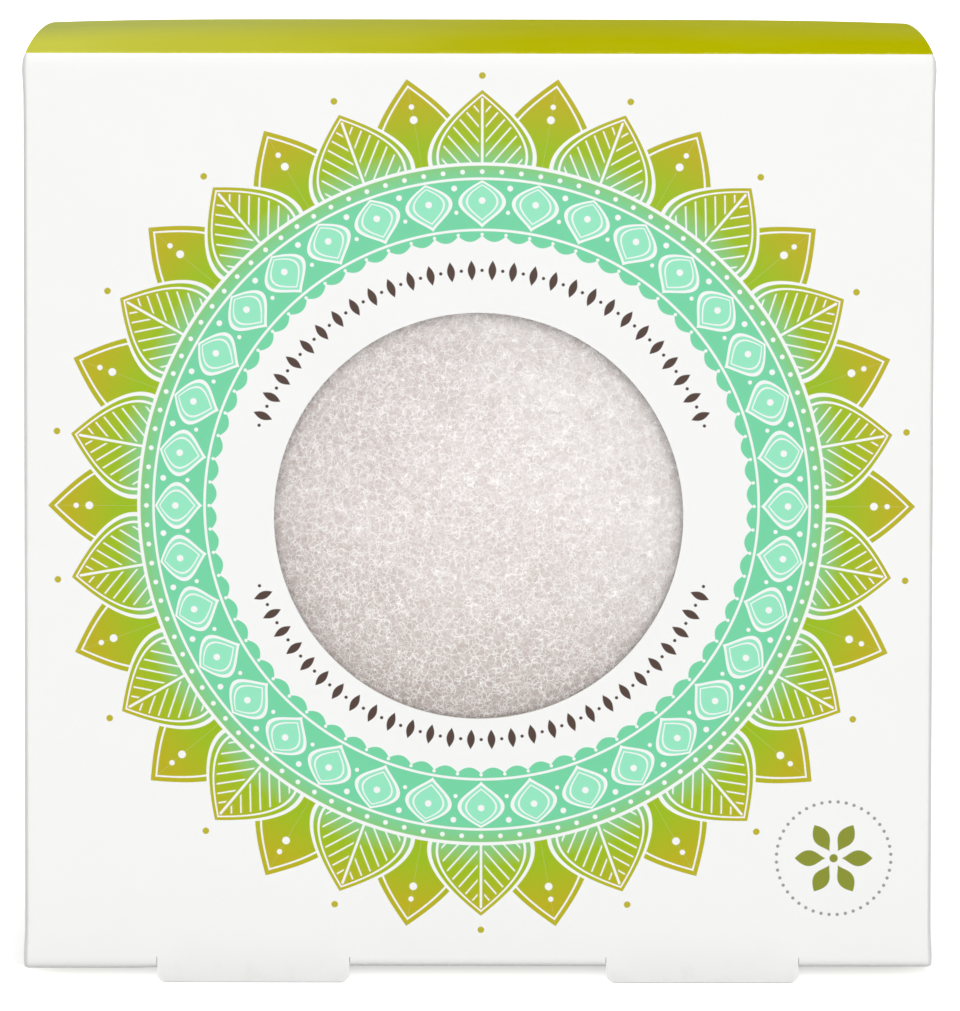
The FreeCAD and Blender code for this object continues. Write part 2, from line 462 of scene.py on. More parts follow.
@dataclass(frozen=True)
class Noise:
    """A noise over the object's own coordinates, with a feature size in metres."""

    size: float
    detail: float = 3.0
    roughness: float = 0.5
    distortion: float = 0.0
    kind: str = "FBM"
    stretch: tuple[float, float, float] = (1.0, 1.0, 1.0)

    def field(self, tree: bpy.types.NodeTree) -> Field:
        """Place the noise in a tree.

        Args:
            tree: The tree that takes the nodes.

        Returns:
            Its value, about 0.5 on average.
        """
        turn = tree.nodes.new("ShaderNodeMapping")
        turn.inputs["Scale"].default_value = self.stretch
        node = tree.nodes.new("ShaderNodeTexNoise")
        node.noise_type = self.kind
        node.inputs["Scale"].default_value = 1 / self.size
        node.inputs["Detail"].default_value = self.detail
        node.inputs["Roughness"].default_value = self.roughness
        node.inputs["Distortion"].default_value = self.distortion
        tree.links.new(object_place(tree), turn.inputs["Vector"])
        tree.links.new(turn.outputs["Vector"], node.inputs["Vector"])
        return Field(tree, node.outputs[0])


@dataclass(frozen=True)
class CellNet:
    """A warped net of small cells, with lengths in metres."""

    size: float
    rim: float
    warp: float

    def field(self, tree: bpy.types.NodeTree) -> tuple[Field, Field]:
        """Place the net in a tree.

        Args:
            tree: The tree that takes the nodes.

        Returns:
            The mask of the rims and each cell's own tone.
        """
        place = object_place(tree)
        sway = tree.nodes.new("ShaderNodeTexNoise")
        sway.inputs["Scale"].default_value = 0.9 / self.size
        sway.inputs["Detail"].default_value = 1.0
        tree.links.new(place, sway.inputs["Vector"])
        shift = tree.nodes.new("ShaderNodeVectorMath")
        shift.operation = "MULTIPLY_ADD"
        shift.inputs[1].default_value = (self.warp,) * 3
        tree.links.new(sway.outputs["Color"], shift.inputs[0])
        tree.links.new(place, shift.inputs[2])
        nets = []
        for feature in ("DISTANCE_TO_EDGE", "F1"):
            net = tree.nodes.new("ShaderNodeTexVoronoi")
            net.feature = feature
            net.inputs["Scale"].default_value = 1 / self.size
            tree.links.new(shift.outputs[0], net.inputs["Vector"])
            nets.append(net)
        split = tree.nodes.new("ShaderNodeSeparateColor")
        tree.links.new(nets[1].outputs["Color"], split.inputs[0])
        return (self.rim - Field(tree, nets[0].outputs["Distance"])).cover(self.rim), Field(tree, split.outputs[0])


@dataclass(frozen=True)
class Effect:
    """A node group that several finishes share, made once with named sockets."""

    name: str
    inputs: tuple[tuple[str, float], ...]
    outputs: tuple[str, ...]
    build: Callable[[bpy.types.NodeTree, dict[str, Field]], dict[str, Field]]

    def group(self) -> bpy.types.NodeTree:
        """Make the group, or find it again.

        Returns:
            The group.
        """
        if self.name in bpy.data.node_groups:
            return bpy.data.node_groups[self.name]
        tree = bpy.data.node_groups.new(self.name, "ShaderNodeTree")
        for name, value in self.inputs:
            tree.interface.new_socket(name, in_out="INPUT", socket_type="NodeSocketFloat").default_value = value
        for name in self.outputs:
            tree.interface.new_socket(name, in_out="OUTPUT", socket_type="NodeSocketFloat")
        start = tree.nodes.new("NodeGroupInput")
        end = tree.nodes.new("NodeGroupOutput")
        given = {name: Field(tree, start.outputs[name]) for name, _ in self.inputs}
        for name, value in self.build(tree, given).items():
            tree.links.new(value.socket, end.inputs[name])
        return tree

    def place(self, tree: bpy.types.NodeTree, **values: float) -> dict[str, Field]:
        """Place the group in a material.

        Args:
            tree: The material's tree.
            values: Values of its inputs, with underscores for spaces.

        Returns:
            Its outputs by name.
        """
        node = tree.nodes.new("ShaderNodeGroup")
        node.node_tree = self.group()
        for name, value in values.items():
            node.inputs[name.replace("_", " ")].default_value = value
        return {name: Field(tree, node.outputs[name]) for name in self.outputs}


def lay_fibres(tree: bpy.types.NodeTree, given: dict[str, Field]) -> dict[str, Field]:
    """Mottle a board's tone and raise its fine fibres.

    Args:
        tree: The group's tree.
        given: The group's inputs.

    Returns:
        The tone, about one, and the height of the fibres.
    """
    cloud = Noise(11 * MM, detail=2).field(tree) - 0.5
    fibre = Noise(0.28 * MM, detail=4, roughness=0.65, stretch=(0.35, 1.0, 1.0)).field(tree) - 0.5
    speckle = Noise(0.12 * MM, detail=2, roughness=0.7).field(tree) - 0.5
    shade = (cloud + fibre * 0.5) * given["Mottle"]
    return {"Tone": shade + 1.0, "Height": (fibre + speckle * 0.6) * given["Relief"]}


WEAR_HALF_WIDTH = 0.0449
WEAR_HALF_DEPTH = 0.0224
WEAR_HALF_HEIGHT = 0.0455
WEAR_MIDDLE_HEIGHT = 0.0474


def lay_wear(tree: bpy.types.NodeTree, given: dict[str, Field]) -> dict[str, Field]:
    """Rub the board where its folds and edges are.

    Args:
        tree: The group's tree.
        given: The group's inputs.

    Returns:
        The mask of the rubbed places.
    """
    across, depth, height = coordinates(tree)
    near = given["Reach"]
    sides = (abs(across) - WEAR_HALF_WIDTH + near) / near
    fronts = (abs(depth) - WEAR_HALF_DEPTH + near) / near
    ends = (abs(height - WEAR_MIDDLE_HEIGHT) - WEAR_HALF_HEIGHT + near) / near
    upright = sides.reckon("MINIMUM", fronts)
    level = ends.reckon("MINIMUM", sides.reckon("MAXIMUM", fronts))
    fold = upright.reckon("MAXIMUM", level)
    patchy = Noise(2.2 * MM, detail=5, roughness=0.7).field(tree).ramp(0.50, 0.66)
    return {"Mask": fold.reckon("MULTIPLY", patchy, clamp=True) * given["Amount"]}


def lay_specks(tree: bpy.types.NodeTree, given: dict[str, Field]) -> dict[str, Field]:
    """Scatter tiny specks of missing ink and dust.

    Args:
        tree: The group's tree.
        given: The group's inputs.

    Returns:
        The mask of the specks.
    """
    cells = tree.nodes.new("ShaderNodeTexVoronoi")
    cells.inputs["Scale"].default_value = 1 / (2.6 * MM)
    tree.links.new(object_place(tree), cells.inputs["Vector"])
    split = tree.nodes.new("ShaderNodeSeparateColor")
    tree.links.new(cells.outputs["Color"], split.inputs[0])
    chance = (given["Density"] - Field(tree, split.outputs[0])).cover(0.01)
    dot = (given["Size"] - Field(tree, cells.outputs["Distance"])).cover(0.03)
    return {"Mask": chance * dot}


FIBRES = Effect("board_fibres", (("Mottle", 0.03), ("Relief", 1.0)), ("Tone", "Height"), lay_fibres)
WEAR = Effect("fold_wear", (("Reach", 0.0008), ("Amount", 0.5)), ("Mask",), lay_wear)
SPECKS = Effect("ink_specks", (("Density", 0.05), ("Size", 0.06)), ("Mask",), lay_specks)


class Dressing:
    """One material in the making: its tree, its Principled shader and its output."""

    def __init__(self, name: str) -> None:
        """Start a material.

        Args:
            name: Name of the material.
        """
        self.material = bpy.data.materials.new(name)
        self.material.use_nodes = True
        self.tree = self.material.node_tree
        self.shader = self.tree.nodes["Principled BSDF"]
        self.output = self.tree.nodes["Material Output"]

    def fixed(self, **values: float) -> None:
        """Set plain values on the shader's own sockets, with underscores for spaces."""
        for name, value in values.items():
            self.shader.inputs[name.replace("_", " ")].default_value = value

    def coloured(self, palette: Palette) -> None:
        """Give the shader its colour."""
        self.tree.links.new(palette.latest, self.shader.inputs["Base Color"])

    def toned(self, palette: Palette, shade: Field) -> None:
        """Give the shader its colour, multiplied by a tone.

        Args:
            palette: The colours.
            shade: The tone, near one.
        """
        grey = self.tree.nodes.new("ShaderNodeCombineColor")
        for number in range(3):
            self.tree.links.new(shade.socket, grey.inputs[number])
        palette.lay(grey.outputs[0], 1.0, "MULTIPLY")
        self.coloured(palette)

    def rough(self, value: Field) -> None:
        """Give the shader its changing roughness."""
        self.tree.links.new(value.socket, self.shader.inputs["Roughness"])

    def bumped(self, height: Field, distance: float, strength: float = 1.0) -> bpy.types.NodeSocket:
        """Raise the surface by a height field.

        Args:
            height: The height, about zero to one.
            distance: How far a height of one stands out, in metres.
            strength: How much of it shows.

        Returns:
            The normal that the bump gives.
        """
        bump = self.tree.nodes.new("ShaderNodeBump")
        bump.inputs["Distance"].default_value = distance
        bump.inputs["Strength"].default_value = strength
        self.tree.links.new(height.socket, bump.inputs["Height"])
        self.tree.links.new(bump.outputs["Normal"], self.shader.inputs["Normal"])
        return bump.outputs["Normal"]

    def surfaced(self, shader: bpy.types.NodeSocket) -> None:
        """Show another shader than the Principled one."""
        self.tree.links.new(shader, self.output.inputs["Surface"])


@dataclass(frozen=True)
class Leaf:
    """A leaf along a spoke of the print; lengths in millimetres from the middle."""

    first: float
    tip: float
    half: float
    belly: float = 1.0

    def depth(self, distance: Field, side: Field) -> Field:
        """Give the depth inside the leaf, which is widest near its beginning if its belly is below one.

        Args:
            distance: Distance from the middle.
            side: Distance from the spoke.

        Returns:
            The depth, positive inside.
        """
        share = distance.ramp(self.first, self.tip).reckon("POWER", self.belly)
        return (share * pi).reckon("SINE") * self.half - side


@dataclass(frozen=True)
class Dot:
    """A round dot on a spoke of the print, in millimetres."""

    radius: float
    size: float

    def depth(self, distance: Field, side: Field) -> Field:
        """Give the depth inside the dot."""
        return self.size - ((distance - self.radius).squared() + side.squared()).reckon("SQRT")


@dataclass(frozen=True)
class RingPrint:
    """The printed ring of leaves round the window, its garlands and the small mark; lengths in millimetres."""

    middle: tuple[float, float] = (0.3, 48.1)
    mark_middle: tuple[float, float] = (35.4, 12.8)
    leaves: int = 18
    mark_dots: int = 44
    mark_petals: int = 6
    line: float = 0.16
    softness: float = 0.07
    rear_leaf: Leaf = Leaf(28.0, 42.9, 5.0, 0.95)
    rear_inset: float = 0.75
    rear_gold: tuple[float, float] = (36.0, 40.5)
    rear_line: tuple[float, float] = (33.0, 33.4)
    rear_dots: tuple[Dot, Dot] = (Dot(40.1, 0.3), Dot(38.8, 0.42))
    front_leaf: Leaf = Leaf(29.0, 41.2, 5.0, 0.95)
    front_rim: float = 0.42
    front_rim_end: float = 41.9
    front_inset: float = 0.6
    front_lime: tuple[float, float] = (32.8, 36.2)
    front_gold: tuple[float, float] = (36.6, 40.6)
    vein_along: float = 0.72
    vein_aside: float = 0.85
    vein_pitch: float = 1.05
    vein_half: float = 0.12
    vein_softness: float = 0.08
    vein_inset: float = 1.0
    vein_gap: float = 0.3
    spine_inset: float = 0.9
    tip_dot: Dot = Dot(42.6, 0.36)
    disc_outer: float = 33.9
    disc_inner: float = 26.2
    disc_wave: float = 0.45
    disc_lime: tuple[float, float] = (32.0, 34.2)
    disc_lime_share: float = 0.55
    rim_half: float = 0.2
    rings: tuple[float, float] = (32.45, 27.4)
    bead: Dot = Dot(33.15, 0.27)
    scallop: Leaf = Leaf(27.6, 32.3, 2.35, 1.2)
    scallop_rim: tuple[float, float] = (0.22, 0.2)
    scallop_inset: float = 0.85
    scallop_line_share: float = 0.8
    scallop_dot: Dot = Dot(30.3, 0.36)
    gap_dots: tuple[Dot, Dot] = (Dot(29.2, 0.24), Dot(31.6, 0.32))
    edge_dot: Dot = Dot(26.95, 0.2)
    seed: Leaf = Leaf(22.35, 24.45, 0.42)
    grain: Dot = Dot(23.4, 0.2)
    garland_turn: float = 0.1965
    garland_softness: float = 0.001
    mark_dot: Dot = Dot(5.7, 0.2)
    mark_petal: Leaf = Leaf(0.7, 3.9, 0.85, 1.3)
    mark_eye: float = 0.45
    mint: Colour = tone(112, 207, 160)
    pale_mint: Colour = tone(146, 226, 190)
    lime: Colour = tone(150, 182, 0)
    gold: Colour = tone(180, 170, 0)
    brown: Colour = tone(70, 50, 42)
    grey: Colour = tone(150, 150, 142)
    olive: Colour = tone(132, 140, 40)
    white: Colour = tone(241, 241, 240)

    def polar(self, tree: bpy.types.NodeTree, middle: tuple[float, float]) -> tuple[Field, Field]:
        """Measure from a middle on the front panel.

        Args:
            tree: The material's tree.
            middle: Place of the middle across and up.

        Returns:
            The distance from it, and the turn round it in whole turns.
        """
        across, _, height = coordinates(tree)
        across, height = across / MM - middle[0], height / MM - middle[1]
        distance = (across.squared() + height.squared()).reckon("SQRT")
        return distance, height.reckon("ARCTAN2", across) / (2 * pi)

    def sideways(self, distance: Field, turn: Field, count: int, shift: float = 0.0) -> Field:
        """Measure sideways from the nearest of evenly spaced spokes.

        Args:
            distance: Distance from the middle.
            turn: Turn round it, in whole turns.
            count: Number of spokes.
            shift: Moves the spokes on, in shares of their spacing.

        Returns:
            The distance from the spoke.
        """
        share = (turn * float(count) + shift).reckon("FRACT") - 0.5
        return abs(share * distance * (2 * pi / count))

    def draw_outer(self, palette: Palette, distance: Field, turn: Field) -> None:
        """Lay the two rows of large leaves and the dots between their tips.

        Args:
            palette: Takes the colours.
            distance: Distance from the middle.
            turn: Turn round it.
        """
        spoke = self.sideways(distance, turn, self.leaves)
        between = self.sideways(distance, turn, self.leaves, 0.5)
        soft = self.softness
        rear = self.rear_leaf.depth(distance, between)
        palette.lay(self.lime, rear.cover(soft))
        palette.lay(self.gold, rear.cover(soft) * distance.ramp(*self.rear_gold))
        outline = (self.line - abs(rear - self.rear_inset)).cover(soft)
        palette.lay(self.white, outline * distance.ramp(*self.rear_line))
        for dot in self.rear_dots:
            palette.lay(self.white, dot.depth(distance, between).cover(soft))
        leaf = self.front_leaf.depth(distance, spoke)
        palette.lay(self.white, (leaf + self.front_rim).cover(soft) * (self.front_rim_end - distance).cover(soft))
        palette.lay(self.mint, leaf.cover(soft))
        palette.lay(self.lime, leaf.cover(soft) * distance.ramp(*self.front_lime))
        palette.lay(self.gold, leaf.cover(soft) * distance.ramp(*self.front_gold))
        palette.lay(self.white, (self.line - abs(leaf - self.front_inset)).cover(soft))
        veins = ((distance * self.vein_along - spoke * self.vein_aside) / self.vein_pitch).reckon("FRACT")
        stripe = (self.vein_half - abs(veins - 0.5)).cover(self.vein_softness) * (leaf - self.vein_inset).cover(soft)
        palette.lay(self.white, stripe * (spoke - self.vein_gap).cover(soft))
        palette.lay(self.white, (self.line - spoke).cover(soft) * (leaf - self.spine_inset).cover(soft))
        palette.lay(self.gold, self.tip_dot.depth(distance, spoke).cover(soft))

    def draw_middle(self, palette: Palette, distance: Field, turn: Field) -> None:
        """Lay the mint disc with its scallops, their drops and the beaded rings.

        Args:
            palette: Takes the colours.
            distance: Distance from the middle.
            turn: Turn round it.
        """
        soft = self.softness
        petal = self.sideways(distance, turn, 2 * self.leaves, 0.5)
        gap = self.sideways(distance, turn, 2 * self.leaves)
        beads = self.sideways(distance, turn, 6 * self.leaves, 0.5)
        edge = self.sideways(distance, turn, 4 * self.leaves)
        inside = (distance - edge.squared() * self.disc_wave - self.disc_inner).cover(soft)
        disc = (self.disc_outer - distance).cover(soft) * inside
        palette.lay(self.mint, disc)
        palette.lay(self.lime, disc * distance.ramp(*self.disc_lime) * self.disc_lime_share)
        palette.lay(self.white, (self.rim_half - abs(distance - self.disc_outer)).cover(soft))
        palette.lay(self.white, self.bead.depth(distance, beads).cover(soft))
        palette.lay(self.white, (self.line - abs(distance - self.rings[0])).cover(soft))
        scallop = self.scallop.depth(distance, petal)
        rim_half, rim_inset = self.scallop_rim
        palette.lay(self.pale_mint, scallop.cover(soft))
        palette.lay(self.white, (rim_half - abs(scallop - rim_inset)).cover(soft))
        inner_line = self.line * self.scallop_line_share - abs(scallop - self.scallop_inset)
        palette.lay(self.white, inner_line.cover(soft))
        palette.lay(self.white, self.scallop_dot.depth(distance, petal).cover(soft))
        for dot in self.gap_dots:
            palette.lay(self.white, dot.depth(distance, gap).cover(soft))
        palette.lay(self.white, (self.line - abs(distance - self.rings[1])).cover(soft))
        edge_spokes = self.sideways(distance, turn, 4 * self.leaves, 0.5)
        palette.lay(self.white, self.edge_dot.depth(distance, edge_spokes).cover(soft))

    def draw_small(self, palette: Palette, distance: Field, turn: Field) -> None:
        """Lay the two brown garlands near the window, and the small mark with its ring of dots.

        Args:
            palette: Takes the colours.
            distance: Distance from the window's middle.
            turn: Turn round it.
        """
        soft = self.softness
        seeds = self.sideways(distance, turn, 4 * self.leaves)
        grains = self.sideways(distance, turn, 4 * self.leaves, 0.5)
        arcs = (self.garland_turn - abs(abs(turn) - 0.25)).cover(self.garland_softness)
        palette.lay(self.brown, self.seed.depth(distance, seeds).cover(soft) * arcs)
        palette.lay(self.brown, self.grain.depth(distance, grains).cover(soft) * arcs)
        near, angle = self.polar(palette.tree, self.mark_middle)
        dots = self.sideways(near, angle, self.mark_dots)
        palette.lay(self.grey, self.mark_dot.depth(near, dots).cover(soft))
        petals = self.sideways(near, angle, self.mark_petals, 0.5)
        palette.lay(self.olive, self.mark_petal.depth(near, petals).cover(soft))
        palette.lay(self.olive, (self.mark_eye - near).cover(soft))

    def draw(self, palette: Palette) -> None:
        """Lay the whole print over the front.

        Args:
            palette: Takes the colours.
        """
        distance, turn = self.polar(palette.tree, self.middle)
        self.draw_outer(palette, distance, turn)
        self.draw_middle(palette, distance, turn)
        self.draw_small(palette, distance, turn)


@dataclass(frozen=True)
class BoardFinish:
    """Folding boxboard: a ground tone, what lies on it, and fine fibres."""

    name: str
    ground: Colour
    mottle: float
    relief: float
    specular: float
    roughness: float
    rough_grain: float
    bump: float

    def paint(self, palette: Palette) -> None:
        """Lay nothing over the ground."""

    def make(self) -> bpy.types.Material:
        """Make the board's material.

        Returns:
            The material.
        """
        dressing = Dressing(self.name)
        fibres = FIBRES.place(dressing.tree, Mottle=self.mottle, Relief=self.relief)
        palette = Palette(dressing.tree, self.ground)
        self.paint(palette)
        dressing.toned(palette, fibres["Tone"])
        dressing.fixed(Specular_IOR_Level=self.specular)
        dressing.rough(fibres["Height"] * self.rough_grain + self.roughness)
        dressing.bumped(fibres["Height"], self.bump)
        return dressing.material


@dataclass(frozen=True)
class CoatedBoard(BoardFinish):
    """White coated board, bare or printed."""

    ground: Colour = tone(241, 241, 240)
    mottle: float = 0.022
    relief: float = 1.0
    specular: float = 0.16
    roughness: float = 0.46
    rough_grain: float = 0.12
    bump: float = 0.006 * MM
    print_layer: RingPrint | None = None
    wear_reach: float = 0.7 * MM
    wear_amount: float = 0.2
    worn: Colour = tone(224, 221, 214)

    def paint(self, palette: Palette) -> None:
        """Lay the print, if there is one, and the wear.

        Args:
            palette: Takes the colours.
        """
        wear = WEAR.place(palette.tree, Reach=self.wear_reach, Amount=self.wear_amount)["Mask"]
        if self.print_layer is not None:
            self.print_layer.draw(palette)
        palette.lay(self.worn, wear)


@dataclass(frozen=True)
class GreenBoard(BoardFinish):
    """Board with the full green ink, with a painted sheen that makes it paler towards its left end and its rear."""

    name: str = "green_board"
    ground: Colour = tone(182, 180, 0)
    mottle: float = 0.06
    relief: float = 1.0
    specular: float = 0.0
    roughness: float = 0.5
    rough_grain: float = 0.15
    bump: float = 0.008 * MM
    wear_reach: float = 0.7 * MM
    wear_amount: float = 0.8
    speck_density: float = 0.10
    speck_size: float = 0.04
    # painted sheen: a reflection painted into the colour, paler towards the left end and greyer towards the rear
    sheen_span: tuple[float, float] = (5 * MM, -42 * MM)
    sheen_cloud: float = 14 * MM
    sheen_unevenness: float = 0.4
    sheen_share: float = 0.8
    rear_sheen_span: tuple[float, float] = (-17 * MM, -4 * MM)
    rear_sheen_by_side: float = 0.6
    rear_sheen_least: float = 0.25
    painted_sheen: Colour = tone(208, 209, 84)
    painted_rear_sheen: Colour = tone(168, 176, 104)
    worn: Colour = tone(222, 222, 120)
    bare: Colour = tone(236, 236, 214)

    def paint(self, palette: Palette) -> None:
        """Lay the painted sheen towards the left end, the greyer painted sheen at the rear, the wear and the specks.

        Args:
            palette: Takes the colours.
        """
        tree = palette.tree
        wear = WEAR.place(tree, Reach=self.wear_reach, Amount=self.wear_amount)["Mask"]
        specks = SPECKS.place(tree, Density=self.speck_density, Size=self.speck_size)["Mask"]
        across, depth, _ = coordinates(tree)
        # painted sheen: paler and hazier towards the left end, made uneven by a random cloud
        cloud = Noise(self.sheen_cloud).field(tree) - 0.5
        sheen = across.ramp(*self.sheen_span) + cloud * self.sheen_unevenness
        palette.lay(self.painted_sheen, sheen.reckon("MULTIPLY", self.sheen_share, clamp=True))
        # painted sheen: greyer towards the rear, most at the left end
        rear = depth.ramp(*self.rear_sheen_span) * (sheen * self.rear_sheen_by_side + self.rear_sheen_least)
        palette.lay(self.painted_rear_sheen, rear.reckon("MULTIPLY", self.sheen_share, clamp=True))
        palette.lay(self.worn, wear)
        palette.lay(self.bare, specks)


@dataclass(frozen=True)
class BareBoard(BoardFinish):
    """Uncoated board or its cut edge, with small flecks."""

    relief: float = 1.6
    specular: float = 0.2
    roughness: float = 0.82
    rough_grain: float = 0.1
    bump: float = 0.02 * MM
    fleck: Colour = tone(196, 188, 172)
    fleck_size: float = 0.9 * MM
    fleck_share: float = 0.6

    def paint(self, palette: Palette) -> None:
        """Lay the flecks.

        Args:
            palette: Takes the colours.
        """
        flecks = Noise(self.fleck_size, detail=5, roughness=0.75, stretch=(0.5, 1.0, 1.0)).field(palette.tree)
        palette.lay(self.fleck, flecks.ramp(0.55, 0.75) * self.fleck_share)


@dataclass(frozen=True)
class ClearFilm:
    """The clear window film: it lets light straight through and shines where it is seen aslant."""

    wave_size: float = 1.5 * MM
    wave_height: float = 0.35 * MM
    roughness: float = 0.24
    sharpness: float = 4.0
    slant_share: float = 0.9
    least_share: float = 0.012

    def make(self) -> bpy.types.Material:
        """Make the film's material.

        Returns:
            The material.
        """
        dressing = Dressing("clear_film")
        tree = dressing.tree
        waves = Noise(self.wave_size, detail=3, roughness=0.6, distortion=0.6, stretch=(1.0, 1.0, 0.6)).field(tree)
        normal = dressing.bumped(waves, self.wave_height)
        tree.nodes.remove(dressing.shader)
        clear = tree.nodes.new("ShaderNodeBsdfTransparent")
        gloss = tree.nodes.new("ShaderNodeBsdfAnisotropic")
        gloss.inputs["Roughness"].default_value = self.roughness
        slant = tree.nodes.new("ShaderNodeLayerWeight")
        slant.inputs["Blend"].default_value = 0.5
        facing = Field(tree, slant.outputs["Facing"]).reckon("POWER", self.sharpness)
        for socket in (gloss.inputs["Normal"], slant.inputs["Normal"]):
            tree.links.new(normal, socket)
        share = facing * self.slant_share + self.least_share
        dressing.surfaced(mixed(share, clear.outputs[0], gloss.outputs[0]))
        return dressing.material


@dataclass(frozen=True)
class ClearGlue:
    """The dried glue, milky and a little uneven."""

    milky: Colour = tone(236, 232, 218)
    yellowed: Colour = tone(216, 206, 180)
    cloud_size: float = 1.6 * MM
    bump: float = 0.02 * MM

    def make(self) -> bpy.types.Material:
        """Make the glue's material.

        Returns:
            The material.
        """
        dressing = Dressing("clear_glue")
        cloud = Noise(self.cloud_size, detail=4).field(dressing.tree)
        palette = Palette(dressing.tree, self.milky)
        palette.lay(self.yellowed, cloud.ramp(0.4, 0.7))
        dressing.coloured(palette)
        dressing.rough(cloud * 0.3 + 0.2)
        dressing.bumped(cloud, self.bump)
        return dressing.material


@dataclass(frozen=True)
class KonjacSkin:
    """The konjac skin: short bright curled fibres round small cells, over a pinkish grey, with a painted sheen
    towards its right and painted shade towards its foot.
    """

    cell_net: CellNet = CellNet(0.95 * MM, 0.075, 0.8 * MM)
    curl_net: CellNet = CellNet(0.52 * MM, 0.12, 0.6 * MM)
    hair_net: CellNet = CellNet(0.34 * MM, 0.15, 0.45 * MM)
    ground: Colour = tone(207, 194, 190)
    # pale patches at random, also laid as a painted sheen towards the right
    pale: Colour = tone(234, 227, 224)
    dark_cell: Colour = tone(204, 190, 184)
    pale_cell: Colour = tone(242, 236, 234)
    # painted shade of the sponge's lower side
    painted_low_shade: Colour = tone(172, 156, 148)
    fibre: Colour = tone(254, 252, 251)
    right_sheen_span: tuple[float, float] = (-17 * MM, 19 * MM)
    low_shade_span: tuple[float, float] = (46 * MM, 24 * MM)
    low_shade_share: float = 0.8
    bump: float = 0.05 * MM
    bump_strength: float = 0.6

    def make(self) -> bpy.types.Material:
        """Make the sponge's material.

        Returns:
            The material.
        """
        dressing = Dressing("konjac_fibre")
        tree = dressing.tree
        cells, cell_tone = self.cell_net.field(tree)
        curls, curl_tone = self.curl_net.field(tree)
        hairs, _ = self.hair_net.field(tree)
        patchy = Noise(0.55 * MM, detail=2, roughness=0.6).field(tree).ramp(0.42, 0.54)
        strands = Noise(0.6 * MM, detail=2, stretch=(1.0, 1.0, 0.7)).field(tree).ramp(0.40, 0.54)
        broad = Noise(9 * MM, detail=3, roughness=0.6).field(tree)
        across, _, height = coordinates(tree)
        palette = Palette(tree, self.ground)
        # random pale patches plus a painted sheen that lightens the skin towards its right
        palette.lay(self.pale, (broad * 0.6 + across.ramp(*self.right_sheen_span) * 0.4).ramp(0.30, 0.72))
        palette.lay(self.dark_cell, cell_tone.ramp(0.5, 0.95) * 0.35)
        palette.lay(self.pale_cell, curl_tone.ramp(0.5, 1.0) * 0.25)
        # painted shade: the skin darkens towards the sponge's foot
        palette.lay(self.painted_low_shade, height.ramp(*self.low_shade_span) * self.low_shade_share)
        fibres = (cells * (patchy * 0.3 + 0.45)).reckon("MAXIMUM", curls * (strands * 0.45 + 0.3))
        fibres = fibres.reckon("MAXIMUM", hairs * (patchy * 0.3 + 0.15))
        palette.lay(self.fibre, fibres.ramp(0.15, 0.78))
        dressing.coloured(palette)
        dressing.fixed(Specular_IOR_Level=0.15)
        dressing.rough(0.62 - fibres * 0.15)
        dressing.bumped(fibres, self.bump, self.bump_strength)
        return dressing.material


@dataclass(frozen=True)
class StudioFloor:
    """The floor, which looks white to the camera and keeps the carton's shadow under it; its glow is painted light
    that lifts the shade under the front edge and in front of the carton; lengths in metres.
    """

    near: Colour = tone(238, 238, 238)
    grainy: Colour = tone(240, 240, 240)
    distant: Colour = tone(226, 226, 226)
    bounced: Colour = tone(192, 192, 192)
    far_span: tuple[float, float] = (0.06, 0.30)
    shade_lifting_span: tuple[float, float] = (-12 * MM, -20 * MM)
    least_glow: float = 0.52
    far_glow: float = 0.48

    def make(self) -> bpy.types.Material:
        """Make the floor's material.

        Returns:
            The material.
        """
        dressing = Dressing("studio_floor")
        tree = dressing.tree
        dressing.fixed(Specular_IOR_Level=0.0, Roughness=0.9)
        reach = tree.nodes.new("ShaderNodeVectorMath")
        reach.operation = "LENGTH"
        tree.links.new(object_place(tree), reach.inputs[0])
        far = Field(tree, reach.outputs["Value"]).ramp(*self.far_span)
        _, depth, _ = coordinates(tree)
        # painted light: the glow is full under the carton's front edge and in front of it, which lifts the shade
        # there
        front = depth.ramp(*self.shade_lifting_span)
        palette = Palette(tree, self.near)
        palette.lay(self.grainy, Noise(4 * MM, detail=3).field(tree))
        palette.lay(self.distant, far)
        dressing.coloured(palette)
        glow = tree.nodes.new("ShaderNodeEmission")
        strength = far.reckon("MAXIMUM", front) * self.far_glow + self.least_glow
        tree.links.new(strength.socket, glow.inputs["Strength"])
        bounce = tree.nodes.new("ShaderNodeBsdfDiffuse")
        bounce.inputs["Color"].default_value = self.bounced
        total = tree.nodes.new("ShaderNodeAddShader")
        tree.links.new(dressing.shader.outputs[0], total.inputs[0])
        tree.links.new(glow.outputs[0], total.inputs[1])
        dressing.surfaced(mixed(sees_background(tree), bounce.outputs[0], total.outputs[0]))
        return dressing.material


class Finishes:
    """Every material of the carton, the film, the glue, the sponge and the floor, each made once."""

    def __init__(self) -> None:
        """Make the materials."""
        self.printed_front = CoatedBoard("printed_front", print_layer=RingPrint()).make()
        self.white_board = CoatedBoard("white_board").make()
        self.green_board = GreenBoard().make()
        self.bare_board = BareBoard("bare_board", tone(226, 223, 215), 0.05).make()
        self.cut_edge = BareBoard("cut_edge", tone(214, 209, 199), 0.12).make()
        self.film = ClearFilm().make()
        self.glue = ClearGlue().make()
        self.konjac = KonjacSkin().make()
        self.floor = StudioFloor().make()

    def dress_kept_nodes(self) -> None:
        """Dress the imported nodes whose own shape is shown."""
        bottom_flaps = ("bottom_inner_flap", "bottom_left_dust_flap", "bottom_right_dust_flap")
        finishes = dict.fromkeys(("glue_flap", *bottom_flaps), self.white_board)
        finishes["window_film"] = self.film
        finishes |= dict.fromkeys(("film_adhesive", "seam_adhesive", "bottom_adhesive"), self.glue)
        for name, finish in finishes.items():
            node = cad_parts[name]
            if not node.material_slots:
                node.data.materials.append(finish)
            for place in node.material_slots:
                place.material = finish
            REPORT.info("%s keeps its shape and is dressed", name)


